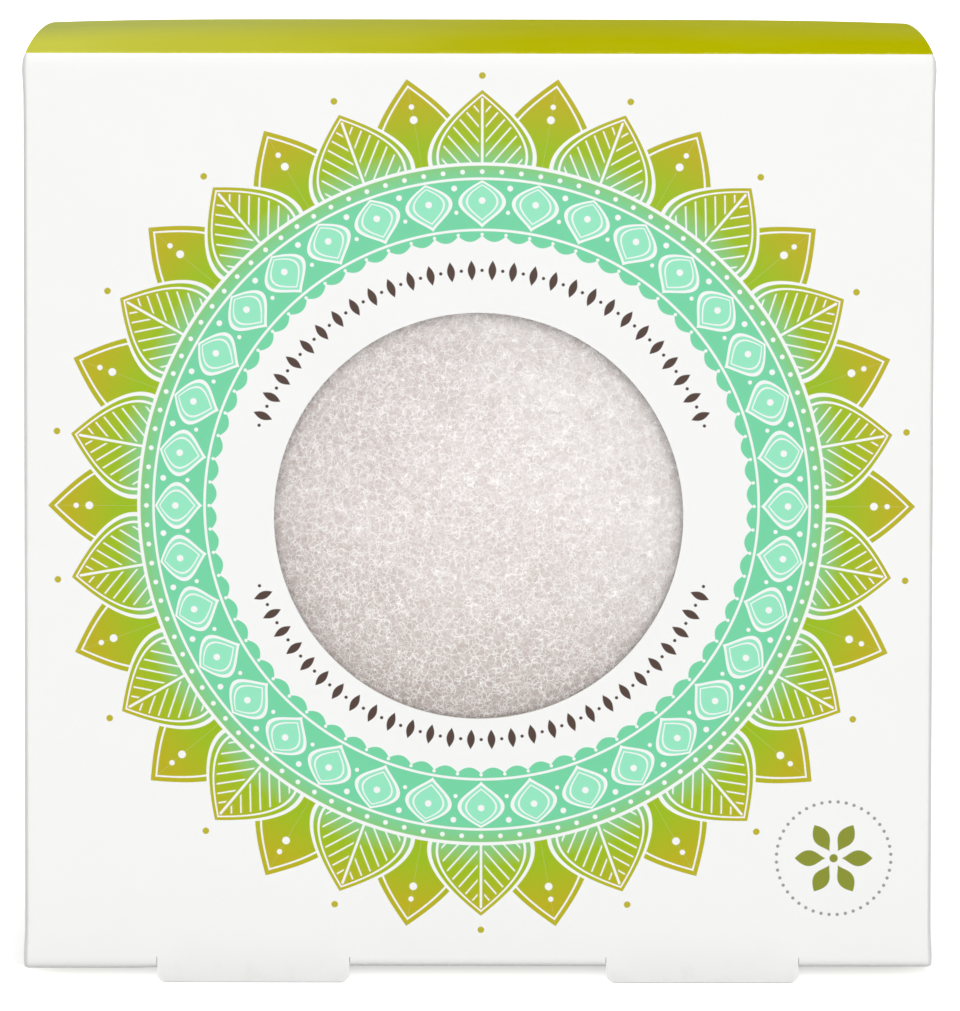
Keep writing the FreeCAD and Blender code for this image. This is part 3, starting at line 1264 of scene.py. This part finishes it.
@dataclass
class Carton:
    """The carton's walls, its bottom flap, its lid and the flaps under the lid."""

    blank: Blank
    finishes: Finishes
    net_step: float = 2.5 * MM
    fine_step: float = 0.2 * MM
    slit_width: float = 0.05 * MM
    slit_rise: float = 0.03 * MM
    window_points: int = 256
    lean_back: float = 0.30 * MM
    lean_height: float = 1.7 * MM
    corner_flare: float = 0.14 * MM
    flare_height: float = 3.5 * MM
    side_crown: float = 0.08 * MM
    score_slant: float = radians(66)
    side_bend: float = 0.28 * MM
    side_face: float = 0.62 * MM
    bottom_bend: float = 0.62 * MM
    bottom_face: float = 0.30 * MM
    last_bend: float = 0.12 * MM
    corner_tuck: tuple[tuple[float, float], ...] = (
        (0.9 * MM, 0.0),
        (0.6 * MM, 0.04 * MM),
        (0.35 * MM, 0.12 * MM),
        (0.17 * MM, 0.22 * MM),
        (0.07 * MM, 0.28 * MM),
    )
    foot_lift: float = 0.08 * MM
    edge_roll: float = 0.16 * MM
    edge_press: float = 0.28 * MM
    sag: float = 0.20 * MM
    left_sag: float = 0.28 * MM
    left_sag_start: float = 28 * MM
    left_sag_fade: float = 6 * MM
    sag_reach: float = 20 * MM
    notch_room: float = 0.3 * MM
    lid_rise: float = 1.7 * MM
    lid_edge_rise: float = 1.2 * MM
    lid_taper: float = 1.3 * MM
    lid_squareness: int = 5
    lid_swell: float = 0.3
    lid_net_share: float = 0.05
    fold_widening: float = 0.9
    fold_reach: float = 1.0 * MM
    crisp_reach: float = 0.4 * MM
    tuck_lean: float = radians(10)
    tuck_length: float = 12.0 * MM
    tuck_corner: float = 6.0 * MM
    tuck_inset: float = 1.0 * MM
    tuck_turn_parts: int = 10

    def __post_init__(self) -> None:
        """Set up the board that all pieces are cut from."""
        self.board = Board(self.blank.board, self.finishes.bare_board, self.finishes.cut_edge)

    def leaned(self, height: float) -> float:
        """Give the front face's depth: its top leans back to the lid and the feet's cut edge rolls in.

        Args:
            height: Height above the floor.

        Returns:
            The depth of the face.
        """
        share = min(1.0, max(0.0, (height - self.blank.top + self.lean_height) / self.lean_height))
        pressed = min(1.0, max(0.0, 1 - (height - self.foot_lift) / self.edge_roll))
        return self.blank.front + self.lean_back * share**2 + self.edge_press * pressed**2

    def scored(self, first: float, face: float) -> list[tuple[float, float, float]]:
        """Draw the round of a scored fold: a bend, a slanted face and a tighter bend.

        Args:
            first: Radius of the first bend.
            face: Length of the slanted face.

        Returns:
            Reach along the first panel, depth behind it and the turn of the face.
        """
        slant, last = self.score_slant, self.last_bend
        points = [(first * sin(turn), first * (1 - cos(turn)), turn) for turn in spread(0, slant, slant / 5)]
        reach, depth, _ = points[-1]
        reach += face * cos(slant)
        depth += face * sin(slant)
        for turn in spread(slant, pi / 2, (pi / 2 - slant) / 4):
            points.append((reach + last * (sin(turn) - sin(slant)), depth + last * (cos(slant) - cos(turn)), turn))
        shift = self.blank.fold - points[-1][0]
        return [(0.0, 0.0, 0.0)] + [(reach + shift, depth, turn) for reach, depth, turn in points]

    def panel_outline(self, left: float, right: float, low: float, high: float) -> list[Vector]:
        """Draw a panel that stands on two feet.

        Args:
            left: Left edge.
            right: Right edge.
            low: Lower edge between the feet.
            high: Upper edge.

        Returns:
            The outline across and up, anticlockwise.
        """
        blank = self.blank
        slit_top = blank.roll_start + self.slit_rise
        radius = blank.foot_corner
        line = [Vector((left, low))]
        for middle in (-blank.foot_middle, blank.foot_middle):
            first, last = middle - blank.foot_half, middle + blank.foot_half
            line += [Vector((first - self.slit_width, low)), Vector((first - self.slit_width, slit_top))]
            line += [Vector((first, slit_top))]
            for centre, begin in ((first + radius, pi), (last - radius, 1.5 * pi)):
                for turn in spread(begin, begin + pi / 2, pi / 16):
                    line.append(Vector((centre + radius * cos(turn), self.foot_lift + radius + radius * sin(turn))))
            line += [Vector((last, slit_top)), Vector((last + self.slit_width, slit_top))]
            line += [Vector((last + self.slit_width, low))]
        line.append(Vector((right, low)))
        line += [Vector((right, height)) for height in spread(low, high, self.net_step)[1:]]
        line += [Vector((across, high)) for across in spread(right, left, self.net_step)[1:]]
        line += [Vector((left, height)) for height in spread(high, low, self.net_step)[1:-1]]
        return line

    def plate(self, outline: list[Vector], depth_of: Callable[[float], float], window: bool, flip: bool) -> Sheet:
        """Fill a standing outline with a net of triangles.

        Args:
            outline: The outline across and up.
            depth_of: Depth of the face at a height.
            window: Leaves the window open.
            flip: Turns the face to the back.

        Returns:
            The sheet.
        """
        blank = self.blank
        middle = Vector((blank.window_middle.x, blank.window_middle.z))
        points = list(outline)
        edges = [(number, (number + 1) % len(points)) for number in range(len(points))]
        low = min(point.y for point in outline)
        high = max(point.y for point in outline)
        left = min(point.x for point in outline)
        right = max(point.x for point in outline)
        if window:
            first = len(points)
            count = self.window_points
            for number in range(count):
                turn = 2 * pi * number / count
                points.append(middle + Vector((cos(turn), sin(turn))) * blank.window_radius)
            edges += [(first + number, first + (number + 1) % count) for number in range(count)]
            for foot in (-blank.foot_middle, blank.foot_middle):
                flat = blank.foot_half - blank.foot_corner
                for share in (1 / 3, 2 / 3, 1.0):
                    height = self.foot_lift + self.edge_roll * share
                    points += [Vector((across, height)) for across in spread(foot - flat, foot + flat, self.net_step)]
        heights = spread(low + blank.roll_start + self.slit_rise, high, self.net_step)[1:-1]
        heights += spread(high - self.lean_height, high, self.fine_step * 2)[:-1]
        for height in heights:
            for across in spread(left, right, self.net_step)[1:-1]:
                spot = Vector((across, height))
                if not window or (spot - middle).length > blank.window_radius + self.net_step / 2:
                    points.append(spot)
        placed, _, faces, *_ = delaunay_2d_cdt(points, edges, [], 1, MM * MM)
        kept = []
        for face in faces:
            centre = sum((placed[index] for index in face), Vector((0.0, 0.0))) / len(face)
            if window and (centre - middle).length < blank.window_radius:
                continue
            turned = (placed[face[1]] - placed[face[0]]).cross(placed[face[2]] - placed[face[0]]) > 0
            kept.append(tuple(face) if turned != flip else tuple(face)[::-1])
        return Sheet([Vector((point.x, depth_of(point.y), point.y)) for point in placed], kept)

    def build_front(self) -> bpy.types.Object:
        """Build the front panel, with its window hole and two feet.

        Returns:
            The piece.
        """
        blank, coats = self.blank, self.finishes
        outline = self.panel_outline(-blank.flat_half, blank.flat_half, blank.roll_start, blank.top - self.fold_reach)
        sheet = self.plate(outline, self.leaned, window=True, flip=False)
        piece = self.board.piece("front_wall", sheet, coats.printed_front)
        return dress(piece, "printed_board", "tube", Wall.FRONT.value)

    def build_back(self) -> bpy.types.Object:
        """Build the back panel, whose right edge lies over the glue flap.

        Returns:
            The piece.
        """
        blank, coats = self.blank, self.finishes
        low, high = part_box(Wall.BACK.value)
        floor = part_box("bottom_inner_flap")[1].z
        outline = self.panel_outline(low.x, high.x, floor, high.z)
        sheet = self.plate(outline, lambda height: blank.back, window=False, flip=True)
        piece = self.board.piece("back_wall", sheet, coats.white_board)
        return dress(piece, "white_board", "tube", Wall.BACK.value)

    def build_side(self, wall: Wall) -> bpy.types.Object:
        """Build a side panel with its two rolled corners.

        Args:
            wall: Which side.

        Returns:
            The piece.
        """
        blank, coats = self.blank, self.finishes
        side = -1.0 if wall is Wall.LEFT else 1.0
        low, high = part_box(wall.value)
        fold = blank.fold
        corner_x = blank.half_width - fold
        bends = self.scored(self.side_bend, self.side_face)
        places = [(corner_x + reach, low.y + depth, turn) for reach, depth, turn in bends]
        corner_columns = len(places) - 1
        flat = spread(low.y + fold, high.y - fold, self.net_step)
        places += [(blank.half_width, depth, pi / 2) for depth in flat[1:]]
        flat_columns = len(flat) - 1
        for turn in spread(pi / 2, pi, pi / 20)[1:]:
            places.append((corner_x + fold * sin(turn), high.y - fold - fold * cos(turn), turn))
        bends = self.scored(self.bottom_bend, self.bottom_face)
        rolls = [(blank.roll_start - reach, 0.0, depth) for reach, depth, _ in bends[:0:-1]]
        strip_low = blank.wall_top + blank.board - self.fold_reach
        levels = rolls + [(height, 0.0, 0.0) for height in spread(blank.roll_start, strip_low, self.net_step)]
        levels += [(blank.top - drop, inset, 0.0) for drop, inset in self.corner_tuck]
        middle_y = (low.y + high.y) / 2
        half_y = (high.y - low.y) / 2 - fold

        def place(level: tuple[float, float, float], spot: tuple[float, float, float]) -> Vector:
            """Put one point of the net on the wall, with its crown and its flared ends.

            Args:
                level: Height, inset of the corners and their step back.
                spot: Place across, depth and turn of the face.

            Returns:
                The point.
            """
            height, inset, back = level
            across, depth, turn = spot
            share = max(0.0, 1 - ((depth - middle_y) / half_y) ** 2)
            middle_z = (blank.top + blank.bottom) / 2
            rise = max(0.0, 1 - ((height - middle_z) / (middle_z - blank.bottom)) ** 2)
            flare = sum(
                max(0.0, 1 - abs(height - end) / self.flare_height) ** 2
                for end in (blank.roll_start, blank.top - self.flare_height / 2)
            )
            out = self.side_crown * share * rise + self.corner_flare * flare * sin(turn) ** 2
            pull = 1 - inset / fold
            centre_y = min(max(depth, low.y + fold), high.y - fold)
            across = corner_x + (across - corner_x) * pull
            depth = centre_y + (depth - centre_y) * pull + (back if depth < middle_y else -back)
            return self.sagged(Vector((side * (across + out * sin(turn)), depth - out * cos(turn), height)))

        rows = [[place(level, spot) for spot in places] for level in levels]
        first_flat, last_flat = len(rolls), len(levels) - 1 - len(self.corner_tuck)

        def is_hole(row: int, column: int) -> bool:
            """Keep the flat part of the wall between its two creases.

            Args:
                row: Row of the quad.
                column: Column of the quad.

            Returns:
                True where the quad is left out.
            """
            flat_part = corner_columns <= column < corner_columns + flat_columns
            return flat_part and not first_flat <= row < last_flat

        sheet = Sheet.from_rows(rows, flip=side < 0, is_hole=is_hole)
        name = wall.value.replace("panel", "wall")
        piece = self.board.piece(name, sheet, coats.white_board)
        return dress(piece, "white_board", "tube", wall.value)

    def sagged(self, point: Vector) -> Vector:
        """Let the bottom flap sag along its front edge, most at the left.

        Args:
            point: A point of the unsagged flap.

        Returns:
            The point in the sagged flap.
        """
        blank = self.blank
        down = max(0.0, (blank.roll_start - point.z) / blank.fold)
        front = max(0.0, 1 - (point.y - blank.front) / self.sag_reach)
        left = max(0.0, min(1.0, (-point.x - self.left_sag_start) / self.left_sag_fade))
        return point - Vector((0, 0, (self.sag + self.left_sag * left) * down * front))

    def build_bottom(self) -> bpy.types.Object:
        """Build the outer bottom flap, which rolls out of the front panel between the feet.

        Returns:
            The piece.
        """
        blank, coats = self.blank, self.finishes
        _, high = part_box("bottom_outer_flap")
        bends = self.scored(self.bottom_bend, self.bottom_face)
        profile = [(blank.front + depth, blank.roll_start - reach) for reach, depth, _ in bends]
        roll_rows = len(profile) - 1
        notch_end = blank.front + blank.bottom + self.notch_room
        profile += [(depth, blank.bottom) for depth in spread(notch_end, high.y, self.net_step)]
        notches = []
        for middle in (-blank.foot_middle, blank.foot_middle):
            reach = blank.foot_half + self.slit_width
            notches.append((middle - reach, middle + reach))
        stops = sorted([-blank.flat_half, blank.flat_half] + [edge for notch in notches for edge in notch])
        columns = [stops[0]]
        for first, last in zip(stops, stops[1:]):
            columns += spread(first, last, self.net_step)[1:]
        rows = [[self.sagged(Vector((across, depth, height))) for across in columns] for depth, height in profile]

        def is_hole(row: int, column: int) -> bool:
            """Leave out the two openings that the feet are cut from.

            Args:
                row: Row of the quad.
                column: Column of the quad.

            Returns:
                True where the quad is left out.
            """
            middle = (columns[column] + columns[column + 1]) / 2
            return row <= roll_rows and any(first < middle < last for first, last in notches)

        sheet = Sheet.from_rows(rows, lambda row, column: int(row >= roll_rows), flip=True, is_hole=is_hole)
        piece = self.board.piece("bottom_flap", sheet, coats.white_board, coats.green_board)
        return dress(piece, "green_board", "tube", "bottom_outer_flap")

    def lid_height(self, across: float, depth: float) -> float:
        """Give the height of the lid's bowed face.

        Args:
            across: Place across the lid.
            depth: Place from front to back.

        Returns:
            The height of the face there.
        """
        share = (depth - self.lid_front) / (self.lid_rear - self.lid_front)
        middle = 1 - abs(across / self.blank.half_width) ** self.lid_squareness
        rise = self.lid_edge_rise + (self.lid_rise - self.lid_edge_rise) * middle
        return self.blank.top + rise * 4 * share * (1 - share) * (1 + self.lid_swell * (1 - share) ** 4)

    @property
    def lid_front(self) -> float:
        """Depth of the lid's crease on the leaned front."""
        return self.leaned(self.blank.top)

    @property
    def lid_rear(self) -> float:
        """Depth of the crease between the lid and its tuck flap."""
        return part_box("lid_panel")[1].y

    def lid_half(self, depth: float) -> float:
        """Give half the lid's width at a depth: it narrows a little to the rear."""
        share = (depth - self.lid_front) / (self.lid_rear - self.lid_front)
        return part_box("lid_panel")[1].x - self.lid_taper * share

    def lid_row(self, depth: float) -> list[Vector]:
        """Give one row of the lid's net, from left to right.

        Args:
            depth: Depth of the row.

        Returns:
            The points of the row.
        """
        half = self.lid_half(depth)
        shares = spread(-1, 1, self.lid_net_share)
        return [Vector((half * share, depth, self.lid_height(half * share, depth))) for share in shares]

    def build_lid(self) -> bpy.types.Object:
        """Build the bowed lid between its two creases.

        Returns:
            The piece.
        """
        coats = self.finishes
        depths = spread(self.lid_front + self.fold_reach, self.lid_rear - self.fold_reach, self.net_step / 2)
        sheet = Sheet.from_rows([self.lid_row(depth) for depth in depths])
        piece = self.board.piece("lid", sheet, coats.green_board)
        return dress(piece, "green_board", "lid", "lid_panel")

    def build_lid_fold(self) -> bpy.types.Object:
        """Build the crease strip that bends between the front panel and the lid.

        Returns:
            The piece.
        """
        blank, coats = self.blank, self.finishes
        low_z = blank.top - self.fold_reach
        heights = spread(low_z, blank.top - self.crisp_reach, self.fine_step)
        shares = spread(-1, 1, self.lid_net_share)
        rows = []
        for height in heights:
            share = (height - low_z) / self.fold_reach
            half = blank.flat_half + (blank.half_width - blank.flat_half) * self.fold_widening * share**2
            rows.append([Vector((half * share, self.leaned(height), height)) for share in shares])
        last = rows[-1]
        crest = self.lid_row(self.lid_front)
        landing = self.lid_row(self.lid_front + self.crisp_reach)
        turns = [rounded_turn(*three) for three in zip(last, crest, landing)]
        turn_parts = len(turns[0]) - 1
        rows += [[turn[number] for turn in turns] for number in range(1, turn_parts + 1)]
        depths = spread(self.lid_front + self.crisp_reach, self.lid_front + self.fold_reach, self.fine_step)
        rows += [self.lid_row(depth) for depth in depths[1:]]
        border = len(heights) - 1 + turn_parts // 2
        sheet = Sheet.from_rows(rows, lambda row, column: int(row >= border))
        piece = self.board.piece("lid_crease", sheet, coats.white_board, coats.green_board)
        start = (0.0, self.leaned(low_z), low_z)
        end = (0.0, self.lid_front + self.fold_reach, blank.top)
        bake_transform(piece)
        REPORT.info("%s bends between tube and lid", piece.name)
        return piece

    def tuck_row(self, reach: float) -> list[Vector]:
        """Give one row of the tuck flap's net at a distance from its crease.

        Args:
            reach: The distance.

        Returns:
            The points of the row.
        """
        depth = self.lid_rear - reach * sin(self.tuck_lean)
        height = self.blank.top - reach * cos(self.tuck_lean)
        over = max(0.0, reach - self.tuck_length + self.tuck_corner)
        half = self.lid_half(self.lid_rear) - self.tuck_inset * min(1.0, reach / self.fold_reach)
        half -= self.tuck_corner - sqrt(max(0.0, self.tuck_corner**2 - over**2))
        return [Vector((half * share, depth, height)) for share in spread(-1, 1, self.lid_net_share)]

    def build_tuck(self) -> bpy.types.Object:
        """Build the tuck flap with its two rounded corners.

        Returns:
            The piece.
        """
        coats = self.finishes
        straight = spread(self.fold_reach, self.tuck_length - self.tuck_corner, self.net_step / 2)
        bend = [self.tuck_length - self.tuck_corner * (1 - sin(turn)) for turn in spread(0, pi / 2, pi / 32)]
        sheet = Sheet.from_rows([self.tuck_row(reach) for reach in straight + bend[1:]])
        piece = self.board.piece("tuck", sheet, coats.green_board)
        return dress(piece, "green_board", "tuck", "tuck_flap")

    def build_tuck_fold(self) -> bpy.types.Object:
        """Build the crease strip that bends between the lid and the tuck flap.

        Returns:
            The piece.
        """
        coats = self.finishes
        before = self.lid_row(self.lid_rear - self.fold_reach)
        corner = self.lid_row(self.lid_rear)
        after = self.tuck_row(self.fold_reach)
        turns = [rounded_turn(*three, parts=self.tuck_turn_parts) for three in zip(before, corner, after)]
        rows = [[turn[number] for turn in turns] for number in range(len(turns[0]))]
        piece = self.board.piece("tuck_crease", Sheet.from_rows(rows), coats.green_board)
        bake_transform(piece)
        REPORT.info("%s bends between lid and tuck", piece.name)
        return piece


@dataclass
class DustFlap:
    """A flap under the lid and the crease strip at its root."""

    blank: Blank
    finishes: Finishes
    side: float
    body: str
    node: str
    crease_reach: float = 1.0 * MM
    tip_corner: float = 3.0 * MM
    front_taper: float = 0.5
    back_taper: float = 0.14
    net_step: float = 2 * MM
    net_columns: int = 18

    def __post_init__(self) -> None:
        """Read the flap's own box."""
        self.low, self.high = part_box(self.node)
        self.length = self.high.x - self.low.x

    def row(self, reach: float) -> list[Vector]:
        """Give one row of the flap's net at a distance from its crease.

        Args:
            reach: The distance.

        Returns:
            The points of the row.
        """
        over = max(0.0, reach - self.length + self.tip_corner)
        rounding = self.tip_corner - sqrt(max(0.0, self.tip_corner**2 - over**2))
        first = self.low.y + self.front_taper * reach + rounding
        last = self.high.y - self.back_taper * reach - rounding
        across = self.side * (self.blank.half_width - reach)
        depths = spread(first, last, (last - first) / self.net_columns)
        return [Vector((across, depth, self.high.z)) for depth in depths]

    def build(self) -> list[bpy.types.Object]:
        """Build the flap and its crease strip.

        Returns:
            The two pieces.
        """
        coats, blank = self.finishes, self.blank
        board = Board(blank.board, coats.bare_board, coats.cut_edge)
        straight = spread(self.crease_reach, self.length - self.tip_corner, self.net_step)
        bend = [self.length - self.tip_corner * (1 - sin(turn)) for turn in spread(0, pi / 2, pi / 24)]
        sheet = Sheet.from_rows([self.row(reach) for reach in straight + bend[1:]], flip=self.side < 0)
        flap = board.piece(self.node.replace("_dust", "_top"), sheet, coats.white_board)
        dress(flap, "white_board", self.body, self.node)
        root = self.row(0.0)
        before = [point - Vector((0, 0, self.crease_reach)) for point in root]
        turns = [rounded_turn(*three) for three in zip(before, root, self.row(self.crease_reach))]
        rows = [[turn[number] for turn in turns] for number in range(len(turns[0]))]
        strip_sheet = Sheet.from_rows(rows, flip=self.side < 0)
        name = self.node.replace("_dust_flap", "_top_crease")
        strip = board.piece(name, strip_sheet, coats.white_board)
        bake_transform(strip)
        REPORT.info("%s bends between tube and %s", strip.name, self.body)
        return [flap, strip]


@dataclass
class Sponge:
    """The domed konjac sponge, crinkled all over."""

    finishes: Finishes
    divisions: int = 8
    crown_radius: float = 78.0 * MM
    shoulder_radius: float = 18.0 * MM
    back_edge_radius: float = 7.0 * MM
    cell_height: float = 0.07 * MM
    fibre_height: float = 0.05 * MM
    dimple_depth: float = 0.10 * MM
    film_room: float = 0.22 * MM
    film_zone: float = 5 * MM
    near_share: float = 0.2
    quick_divisions: int = 6
    curl_scale: float = 1.1
    curl_shift: float = 0.55
    rim_sizes: tuple[float, float] = (1.0, 0.6)
    rim_width: float = 0.42
    dimple_scale: float = 0.33
    noise_seed: int = 11

    def __post_init__(self) -> None:
        """Read the sponge's own box and lay out its profile."""
        low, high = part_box("sponge")
        self.apex = low.y
        self.back = high.y
        self.middle_z = (low.z + high.z) / 2
        self.radius = (high.x - low.x) / 2
        shoulder = self.radius - self.shoulder_radius
        crown_turn = atan2(shoulder, sqrt((self.crown_radius - self.shoulder_radius) ** 2 - shoulder**2))
        shoulder_y = self.apex + self.crown_radius - (self.crown_radius - self.shoulder_radius) * cos(crown_turn)
        edge_y = self.back - self.back_edge_radius
        self.profile = [
            (self.crown_radius * turn, self.crown_radius * sin(turn), self.apex + self.crown_radius * (1 - cos(turn)))
            for turn in spread(0, crown_turn, radians(1))
        ]
        length = self.profile[-1][0]
        for turn in spread(crown_turn, pi / 2, radians(3))[1:]:
            reach = length + self.shoulder_radius * (turn - crown_turn)
            out = shoulder + self.shoulder_radius * sin(turn)
            self.profile.append((reach, out, shoulder_y - self.shoulder_radius * cos(turn)))
        length = self.profile[-1][0] + edge_y - self.profile[-1][2]
        self.profile.append((length, self.radius, edge_y))
        for turn in spread(0, pi / 2, radians(6))[1:]:
            out = self.radius - self.back_edge_radius * (1 - cos(turn))
            reach = length + self.back_edge_radius * turn
            self.profile.append((reach, out, edge_y + self.back_edge_radius * sin(turn)))
        last = self.profile[-1]
        self.profile.append((last[0] + last[1], 0.0, self.back))

    def on_profile(self, reach: float) -> tuple[float, float]:
        """Give the distance from the axis and the depth at a length along the profile.

        Args:
            reach: The length.

        Returns:
            The distance and the depth.
        """
        for (first, out_a, depth_a), (last, out_b, depth_b) in zip(self.profile, self.profile[1:]):
            if reach <= last:
                share = (reach - first) / (last - first)
                return out_a + (out_b - out_a) * share, depth_a + (depth_b - depth_a) * share
        return self.profile[-1][1:]

    def crinkle(self, point: Vector) -> float:
        """Give the height of the crinkled skin over the smooth form.

        Args:
            point: Place on the smooth form.

        Returns:
            The height, mostly below the smooth form.
        """
        spot = point / MM
        curled = spot + noise.noise_vector(spot * self.curl_scale) * self.curl_shift
        rims = []
        for size in self.rim_sizes:
            near, next_near = noise.voronoi(curled / size)[0][:2]
            rims.append(max(0.0, 1 - (next_near - near) / self.rim_width))
        dimples = noise.noise(spot * self.dimple_scale + Vector((2, 9, 4)))
        skin = self.cell_height * rims[0] + self.fibre_height * rims[1]
        return skin + self.dimple_depth * dimples - self.cell_height

    def build(self) -> bpy.types.Object:
        """Build the sponge, with its finest net towards the window.

        Returns:
            The piece.
        """
        noise.seed_set(self.noise_seed)  # noise_vector's offsets follow the clock otherwise
        ball = bmesh.new()
        divisions = self.divisions
        bmesh.ops.create_icosphere(ball, subdivisions=divisions, radius=1.0)
        total = self.profile[-1][0]
        near = self.near_share * total
        far = (total - near * pi) / pi**3
        for vertex in ball.verts:
            way = vertex.co.normalized()
            turn = atan2(hypot(way.x, way.z), -way.y)
            out, depth = self.on_profile(near * turn + far * turn**3)
            around = atan2(way.z, way.x)
            vertex.co = Vector((out * cos(around), depth, self.middle_z + out * sin(around)))
        ball.normal_update()
        moves = []
        for vertex in ball.verts:
            height = self.crinkle(vertex.co)
            limit = self.film_room if vertex.co.y < self.apex + self.film_zone else 2 * self.film_room
            moves.append(vertex.normal * min(height, limit))
        for vertex, move in zip(ball.verts, moves):
            vertex.co += move
        mesh = bpy.data.meshes.new("konjac_sponge")
        ball.to_mesh(mesh)
        ball.free()
        mesh.shade_smooth()
        mesh.materials.append(self.finishes.konjac)
        piece = bpy.data.objects.new("konjac_sponge", mesh)
        bpy.context.scene.collection.objects.link(piece)
        dress(piece, "konjac_fibre", "puff", "sponge")
        return piece


@dataclass(frozen=True)
class Lamp:
    """A square lamp that faces the carton; lengths in metres, power in watts."""

    name: str
    place: tuple[float, float, float]
    size: float
    power: float
    aim_height: float = 0.045

    def build(self) -> bpy.types.Object:
        """Hang the lamp.

        Returns:
            The lamp.
        """
        data = bpy.data.lights.new(self.name, "AREA")
        data.shape = "SQUARE"
        data.size = self.size
        data.energy = self.power
        lamp = bpy.data.objects.new(self.name, data)
        lamp.location = self.place
        way = Vector((0, 0, self.aim_height)) - Vector(self.place)
        lamp.rotation_euler = way.to_track_quat("-Z", "Y").to_euler()
        bpy.context.scene.collection.objects.link(lamp)
        return lamp


@dataclass
class Studio:
    """Pale floor, soft light and the camera at the photograph's place."""

    blank: Blank
    finishes: Finishes
    distance: float = 0.700
    pitch: float = radians(7.5)
    lens: float = 252.0
    aim_drop: float = 0.75 * MM
    aim_side: float = 0.14 * MM
    floor_size: float = 8.0
    roll: float = radians(0.1)
    lamps: tuple[Lamp, ...] = (
        Lamp("front_lamp", (0.05, -1.42, 0.22), 0.7, 16.3),
        Lamp("rear_lamp", (-0.45, 1.30, 0.60), 1.0, 6.5),
        Lamp("top_lamp", (0.05, 0.06, 1.1), 0.18, 4.45),
    )
    world_level: float = 0.42
    clip_start: float = 0.05
    clip_end: float = 20.0

    def build_camera(self) -> bpy.types.Object:
        """Place the camera in front of the panel, looking slightly down.

        Returns:
            The camera.
        """
        blank = self.blank
        middle = Vector((0.0, blank.front, (blank.top + blank.bottom) / 2))
        data = bpy.data.cameras.new("camera")
        data.lens = self.lens
        data.clip_start = self.clip_start
        data.clip_end = self.clip_end
        camera = bpy.data.objects.new("camera", data)
        camera.location = middle + Vector((0, -cos(self.pitch), sin(self.pitch))) * self.distance
        aim = middle + Vector((self.aim_side, 0, self.aim_drop))
        look = (aim - camera.location).to_track_quat("-Z", "Y")
        camera.rotation_euler = (look @ Quaternion((0, 0, 1), self.roll)).to_euler()
        bpy.context.scene.collection.objects.link(camera)
        bpy.context.scene.camera = camera
        return camera

    def build(self) -> None:
        """Build the floor, the world, the lamps and the camera."""
        half = self.floor_size / 2
        mesh = bpy.data.meshes.new("studio_floor")
        corners = [(-half, -half, 0), (half, -half, 0), (half, half, 0), (-half, half, 0)]
        mesh.from_pydata(corners, [], [(0, 1, 2, 3)])
        mesh.materials.append(self.finishes.floor)
        floor = bpy.data.objects.new("studio_floor", mesh)
        bpy.context.scene.collection.objects.link(floor)
        for lamp in self.lamps:
            lamp.build()
        self.build_world()
        self.build_camera()
        REPORT.info("studio is up")

    def build_world(self) -> None:
        """Give the world a plain pale light and a white view."""
        world = bpy.data.worlds.new("studio_world")
        bpy.context.scene.world = world
        world.use_nodes = True
        tree = world.node_tree
        tree.nodes.clear()
        lit = tree.nodes.new("ShaderNodeBackground")
        lit.inputs["Strength"].default_value = self.world_level
        white = tree.nodes.new("ShaderNodeBackground")
        white.inputs["Color"].default_value = (1, 1, 1, 1)
        out = tree.nodes.new("ShaderNodeOutputWorld")
        seen = mixed(sees_background(tree), lit.outputs[0], white.outputs[0])
        tree.links.new(seen, out.inputs["Surface"])


def main() -> None:
    """Build the carton, the sponge and the studio in order."""
    logging.basicConfig(level=logging.INFO, format="%(message)s")
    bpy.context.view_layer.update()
    blank = Blank.from_frame()
    finishes = Finishes()
    carton = Carton(blank, finishes)
    carton.build_front()
    carton.build_back()
    carton.build_side(Wall.LEFT)
    carton.build_side(Wall.RIGHT)
    carton.build_bottom()
    carton.build_lid()
    carton.build_lid_fold()
    carton.build_tuck()
    carton.build_tuck_fold()
    for side, name in ((-1.0, "left"), (1.0, "right")):
        DustFlap(blank, finishes, side, f"{name}_dust", f"{name}_dust_flap").build()
    Sponge(finishes).build()
    finishes.dress_kept_nodes()
    Studio(blank, finishes).build()
    bpy.context.scene.view_settings.view_transform = "Standard"


if __name__ == "__main__":
    main()
